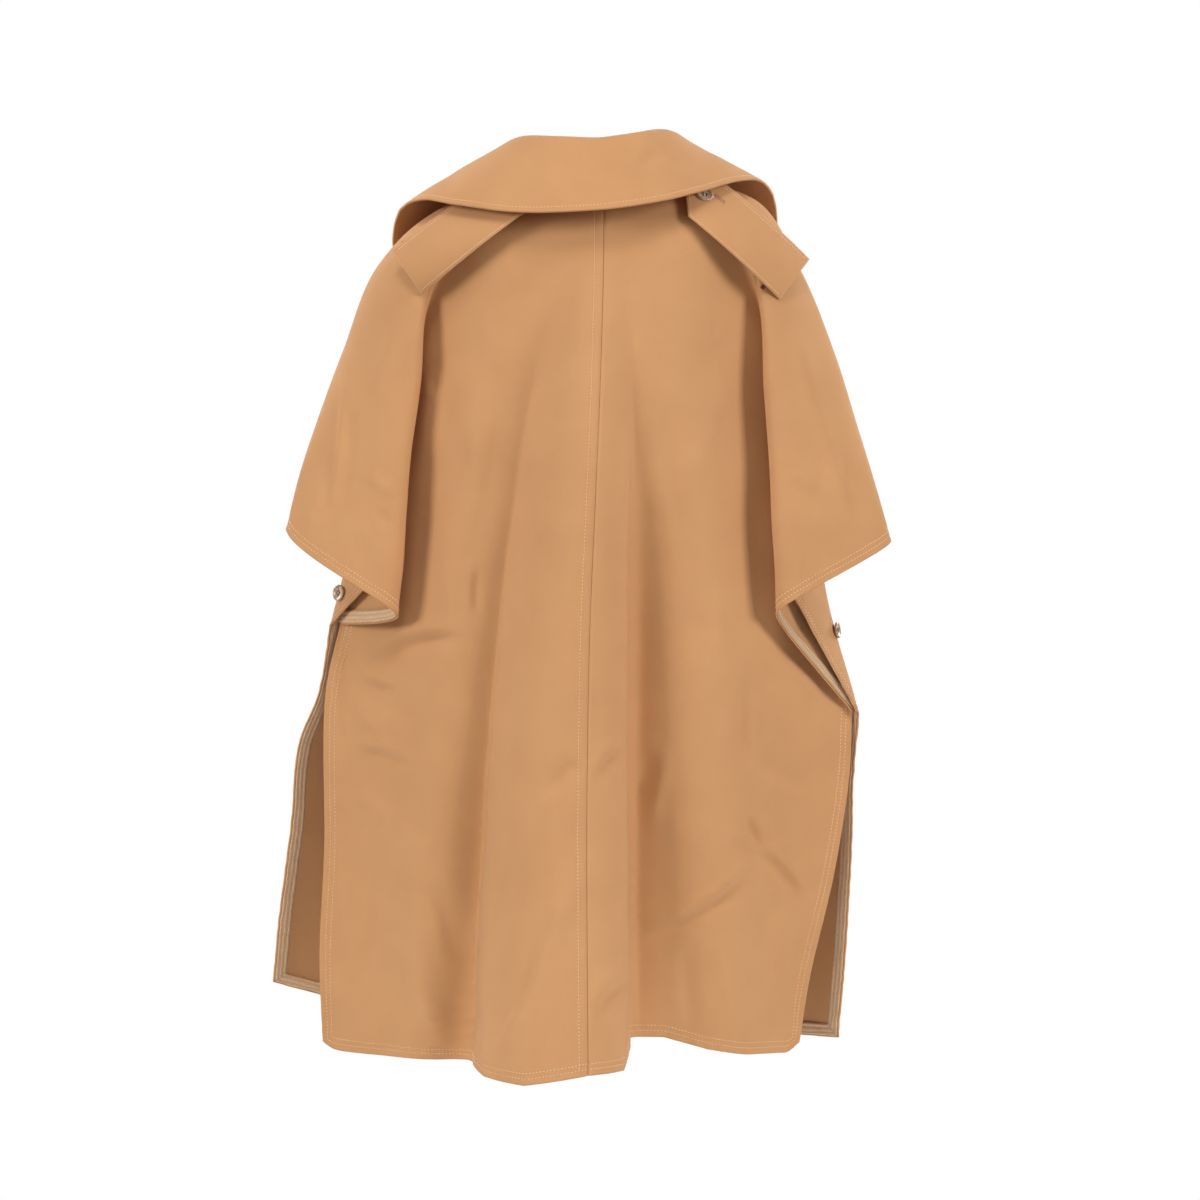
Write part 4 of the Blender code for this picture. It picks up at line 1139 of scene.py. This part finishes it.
def met(tree, x, z):
    """Where cloth is met from behind the coat, and the way it faces there."""
    hit, way = tree.ray_cast(Vector((x * MM, -0.6, z * MM)), Vector((0, 1, 0)))[:2]
    if hit is None:
        return None, None
    return np.array(hit) / MM, np.array(way) * (-1 if way.y > 0 else 1)


def with_point(reach, b):
    """The strap's length at this width: longest in the middle, where its point is."""
    return reach + STRAP_POINT * (1 - np.abs(b / STRAP_WIDTH - 0.5) * 2)


def strap_grid(reach, lengthwise, widthwise):
    b = widthwise * STRAP_WIDTH
    a = lengthwise[:, None] * with_point(reach, b)[None, :]
    return a, np.broadcast_to(b, a.shape)


def bend(a, b):
    """The terms of a smooth, gently curved surface over the strap."""
    a, b = a / 100, b / 100
    return np.stack([np.ones_like(a), a, b, a * a, a * b, b * b], axis=-1)


def bunched(count, whole):
    """Shares of a length that stand close together near both of its ends."""
    near = np.array([0, 0.8, 1.8, 3.0, 4.2]) / whole
    return np.concatenate([near, np.linspace(near[-1], 1 - near[-1], count)[1:-1], 1 - near[::-1]])


back_cloth = tree_of([PANELS[("back", half)]["object"] for half in ("left", "right")])
for half, seed in (("left", 21), ("right", 22)):
    corner, length, width = (np.array(v, float) for v in STRAPS[half][:3])
    reach = STRAPS[half][3]
    length, width = unit(length), unit(width)

    def placed(a, b):
        return corner + a[..., None] * length + b[..., None] * width

    a, b = strap_grid(reach, np.linspace(0, 1, 40), np.linspace(0, 1, 15))
    found = [met(back_cloth, x, z)[0] for x, z in placed(a, b).reshape(-1, 2)]
    found = np.array([np.nan if hit is None else hit[1] for hit in found])
    hit = ~np.isnan(found)
    terms = bend(a.ravel(), b.ravel())[hit]
    fit = np.linalg.lstsq(terms, found[hit], rcond=None)[0]
    fit[0] -= np.max(terms @ fit - found[hit]) + STRAP_CLEAR
    a, b = strap_grid(reach, bunched(64, reach), bunched(24, STRAP_WIDTH))
    spot = placed(a, b)
    points = np.stack([spot[..., 0], bend(a, b) @ fit, spot[..., 1]], axis=-1)
    ids = np.arange(a.size).reshape(a.shape)
    faces = quads(ids, half == "right")
    flat_points = points.reshape(-1, 3)
    facing = outward(flat_points, faces)
    to_point = (with_point(reach, b) - a) * 0.9
    to_edge = np.minimum(np.minimum(b, STRAP_WIDTH - b), np.minimum(a, to_point)).ravel()
    lift = np.full(len(flat_points), STRAP_CLOTH)
    lift -= STRAP_ROLL * np.exp(-((to_edge / STRAP_ROLL) ** 2))
    lift -= STRAP_DIP * np.exp(-((to_edge - STRAP_ROW) ** 2))
    lift += unevenness(flat_points, 30.0, 0.7, seed) * ease(to_edge / 6)
    size, height, near = STRAP_PUCKER
    lift += unevenness(flat_points, size, height, seed + 1) * np.exp(-((to_edge / near) ** 2))
    top = flat_points + facing * lift[:, None]
    made = piece_of(f"epaulette_{half}_cloth", top, faces, np.stack([a.ravel(), b.ravel()], 1))
    thicken(made, STRAP_CLOTH - STRAP_UNDER)
    made.data.materials.append(gabardine)
    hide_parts(f"epaulette_{half}")
    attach(made, "root")

    def on_cloth(tree, pairs):
        """The right side of this cloth at these distances along and across the strap."""
        found = [met(tree, *(corner + a * length + b * width)) for a, b in pairs]
        return (np.array(v) for v in zip(*[spot for spot in found if spot[0] is not None]))

    low, high = STRAP_ROW, STRAP_WIDTH - STRAP_ROW
    point = (reach + STRAP_POINT - 5.5, STRAP_WIDTH / 2)
    loop = [(2.0, low), (reach - 1, low), point, (reach - 1, high), (2.0, high)]
    outline = np.array([(a, b, 0.0) for a, b in loop])
    steps = along(outline, np.arange(0, arc(outline)[-1], 1.0))[:, :2]
    places, ways, faces = stitches_on(*on_cloth(tree_of([made]), steps), pitch=STRAP_PITCH)
    rows = stitch_mesh(f"epaulette_{half}_topstitching", places, ways, faces, length=2.1)
    rows.data.materials.append(thread)
    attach(rows, "root")

    # The buttonhole, worked in satin stitch from beside the button towards the outer end.
    low, high = (np.array(v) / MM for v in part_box(f"epaulette_button_{half}"))
    off = ((low + high) / 2)[[0, 2]] - corner
    slit = [
        (off @ length - d, off @ width + side)
        for side in (-HOLE_HALF, HOLE_HALF) for d in np.arange(HOLE_FROM, HOLE_TO, HOLE_PITCH)
    ]
    places, ways = on_cloth(tree_of([made]), slit)
    across = np.tile((width[0], 0.0, width[1]), (len(places), 1))
    hole = stitch_mesh(
        f"epaulette_{half}_buttonhole", places + ways * 0.12, across, ways, length=1.7, radius=0.34
    )
    hole.data.materials.append(buttonhole_thread)

    # The tack that holds the strap's outer end shows at its edge.
    a, b = TACKS[half]
    spots = [(a + d, b) for d in np.arange(TACK_STITCHES) * TACK_PITCH]
    places, ways = on_cloth(back_cloth, spots)
    across = np.tile((width[0], 0.0, width[1]), (len(places), 1))
    tack = stitch_mesh(
        f"epaulette_{half}_tack", places + ways * 0.3, across, ways, TACK_LENGTH, radius=0.45
    )
    tack.data.materials.append(tack_thread)
    for piece in (hole, tack):
        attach(piece, "root")


# ------------------------------------------------------------------------------------------------
# The buttons. Turned from pale horn with a raised rim and four holes, sewn on with brown thread:
# one on each epaulette, one at each underarm corner, four down the front edge.

BUTTONS = (  # name, which ones, radius, thickness
    ("epaulette_button", ("left", "right"), 8.25, 3.2),
    ("side_button", ("left", "right"), 7.75, 3.0),
    ("front_button", (1, 2, 3, 4), 10.0, 3.6),
)
FACETS = 56
HOLE_RADIUS, HOLE_OUT = 0.115, 0.2  # shares of the button's radius
SHANK = 1.6
PROFILE = (  # share of the radius, share of the thickness
    (0.0, 0.0), (0.70, 0.0), (0.84, 0.06), (0.93, 0.2), (0.985, 0.42), (1.0, 0.6), (0.985, 0.78),
    (0.95, 0.92), (0.90, 0.99), (0.85, 1.0), (0.79, 0.96), (0.73, 0.86), (0.67, 0.75), (0.60, 0.68),
    (0.5, 0.64), (0.3, 0.6), (0.0, 0.6),
)


def horn_finish():
    made, tree = new_finish("horn")
    where = put(tree, "ShaderNodeTexCoord").outputs["Object"]
    stretched = {"Vector": where, "Scale": (1.0, 3.4, 1.0)}
    stretched = put(tree, "ShaderNodeMapping", stretched).outputs[0]
    streaks = clouds(tree, stretched, 95.0, 4.0, Distortion=1.6)
    mottle = clouds(tree, where, 130.0, 2.0)
    share = {"Value": streaks, "From Min": 0.36, "From Max": 0.66}
    share = put(tree, "ShaderNodeMapRange", share).outputs["Result"]
    return finished(made, {
        "Base Color": blend(tree, share, (0.30, 0.19, 0.12, 1), (0.70, 0.54, 0.38, 1)),
        "Roughness": maths(tree, "MULTIPLY_ADD", mottle, 0.22, 0.18),
        "Normal": bumps(tree, mottle, 0.15, 0.0002), "Coat Weight": 0.5, "Coat Roughness": 0.15,
    })


horn = horn_finish()
dark_thread = woven(
    "button_thread", (0.10, 0.055, 0.03), (0.05, 0.028, 0.016), 2500.0, 0.6, 0.2, 0.2,
    (1.0, 0.8, 0.6),
)


def turned_button(name, radius, thick):
    """A lathe-turned disc with a raised rim and four drilled holes, put where its solid lies."""
    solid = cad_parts[name].data.vertices
    solid = np.array([v.co for v in solid], float) / MM
    centre = (solid.max(axis=0) + solid.min(axis=0)) / 2
    axis = np.linalg.svd(solid - solid.mean(axis=0))[2][2]
    if axis[1] * OUTWARD["front" if name.startswith("front") else "back"] < 0:
        axis = -axis
    middle = centre - axis * thick / 2
    angles = np.arange(FACETS) * 2 * np.pi / FACETS
    points, faces = [(0.0, 0.0, 0.0)], []
    for r, z in PROFILE[1:-1]:
        points += [(r * radius * np.cos(a), r * radius * np.sin(a), z * thick) for a in angles]
    points.append((0.0, 0.0, PROFILE[-1][1] * thick))
    last = len(points) - 1 - FACETS
    for i in range(FACETS):
        j = (i + 1) % FACETS
        faces.append((0, 1 + j, 1 + i))
        for a in range(1, last, FACETS):
            b = a + FACETS
            faces.append((a + i, a + j, b + j, b + i))
        faces.append((last + i, last + j, len(points) - 1))
    made = piece_of(name + "_turned", points, faces)
    points, faces = [], []
    bore = HOLE_RADIUS * radius
    ring = [(bore * np.cos(a), bore * np.sin(a)) for a in angles[::4]]
    n = len(ring)
    for x, y in ((1, 1), (1, -1), (-1, 1), (-1, -1)):
        x, y = x * HOLE_OUT * radius, y * HOLE_OUT * radius
        low = [len(points) + i for i in range(n)]
        points += [(u + x, v + y, z) for z in (-thick, 2 * thick) for u, v in ring]
        faces += [(i, j, j + n, i + n) for i, j in zip(low, low[1:] + low[:1])]
        faces += [tuple(low[::-1]), tuple(i + n for i in low)]
    drill = piece_of(name + "_drill", points, faces)
    cut = made.modifiers.new("holes", "BOOLEAN")
    cut.object = drill
    cut.solver = "EXACT"
    seen = bpy.context.evaluated_depsgraph_get()
    drilled = bpy.data.meshes.new_from_object(made.evaluated_get(seen))
    made.modifiers.clear()
    made.data = drilled
    bpy.data.objects.remove(drill, do_unlink=True)
    spin = Vector((0, 0, 1)).rotation_difference(Vector(axis)).to_matrix().to_4x4()
    spin.translation = Vector(middle) * MM
    drilled.transform(spin)
    drilled.polygons.foreach_set("use_smooth", np.ones(len(drilled.polygons), bool))
    drilled.set_sharp_from_angle(angle=math.radians(35))
    return made, middle, axis


def button_threads(name, middle, axis, radius, thick):
    """Two pairs of thread through the four holes, and five down to the cloth as a shank."""
    side = unit(np.cross(axis, (0, 0, 1)) + 1e-6)
    up = np.cross(side, axis)
    on_top = middle + axis * (thick * 0.6 + 0.3)
    centres = [
        on_top + side * (HOLE_OUT * radius * k + shift)
        for k in (-1, 1) for shift in (-0.16, 0.16, 0.0)
    ]
    pairs = stitch_mesh(name, centres, [up] * 6, [axis] * 6, length=0.62 * radius, radius=0.22)
    shank = [
        middle - axis * SHANK / 2 + (side * np.cos(a) + up * np.sin(a)) * 0.5
        for a in np.arange(5) * 2 * np.pi / 5
    ]
    under = stitch_mesh(
        name + "_shank", shank, [axis] * 5, [side] * 5, length=SHANK + 1.5, radius=0.4
    )
    return pairs, under


for kind, which, radius, thick in BUTTONS:
    for name in (f"{kind}_{one}" for one in which):
        made, middle, axis = turned_button(name, radius, thick)
        made.data.materials.clear()
        made.data.materials.append(horn)
        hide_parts(name)
        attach(made, "root")
        for part in button_threads(name + "_thread", middle, axis, radius, thick):
            part.data.materials.append(dark_thread)
            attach(part, "root")
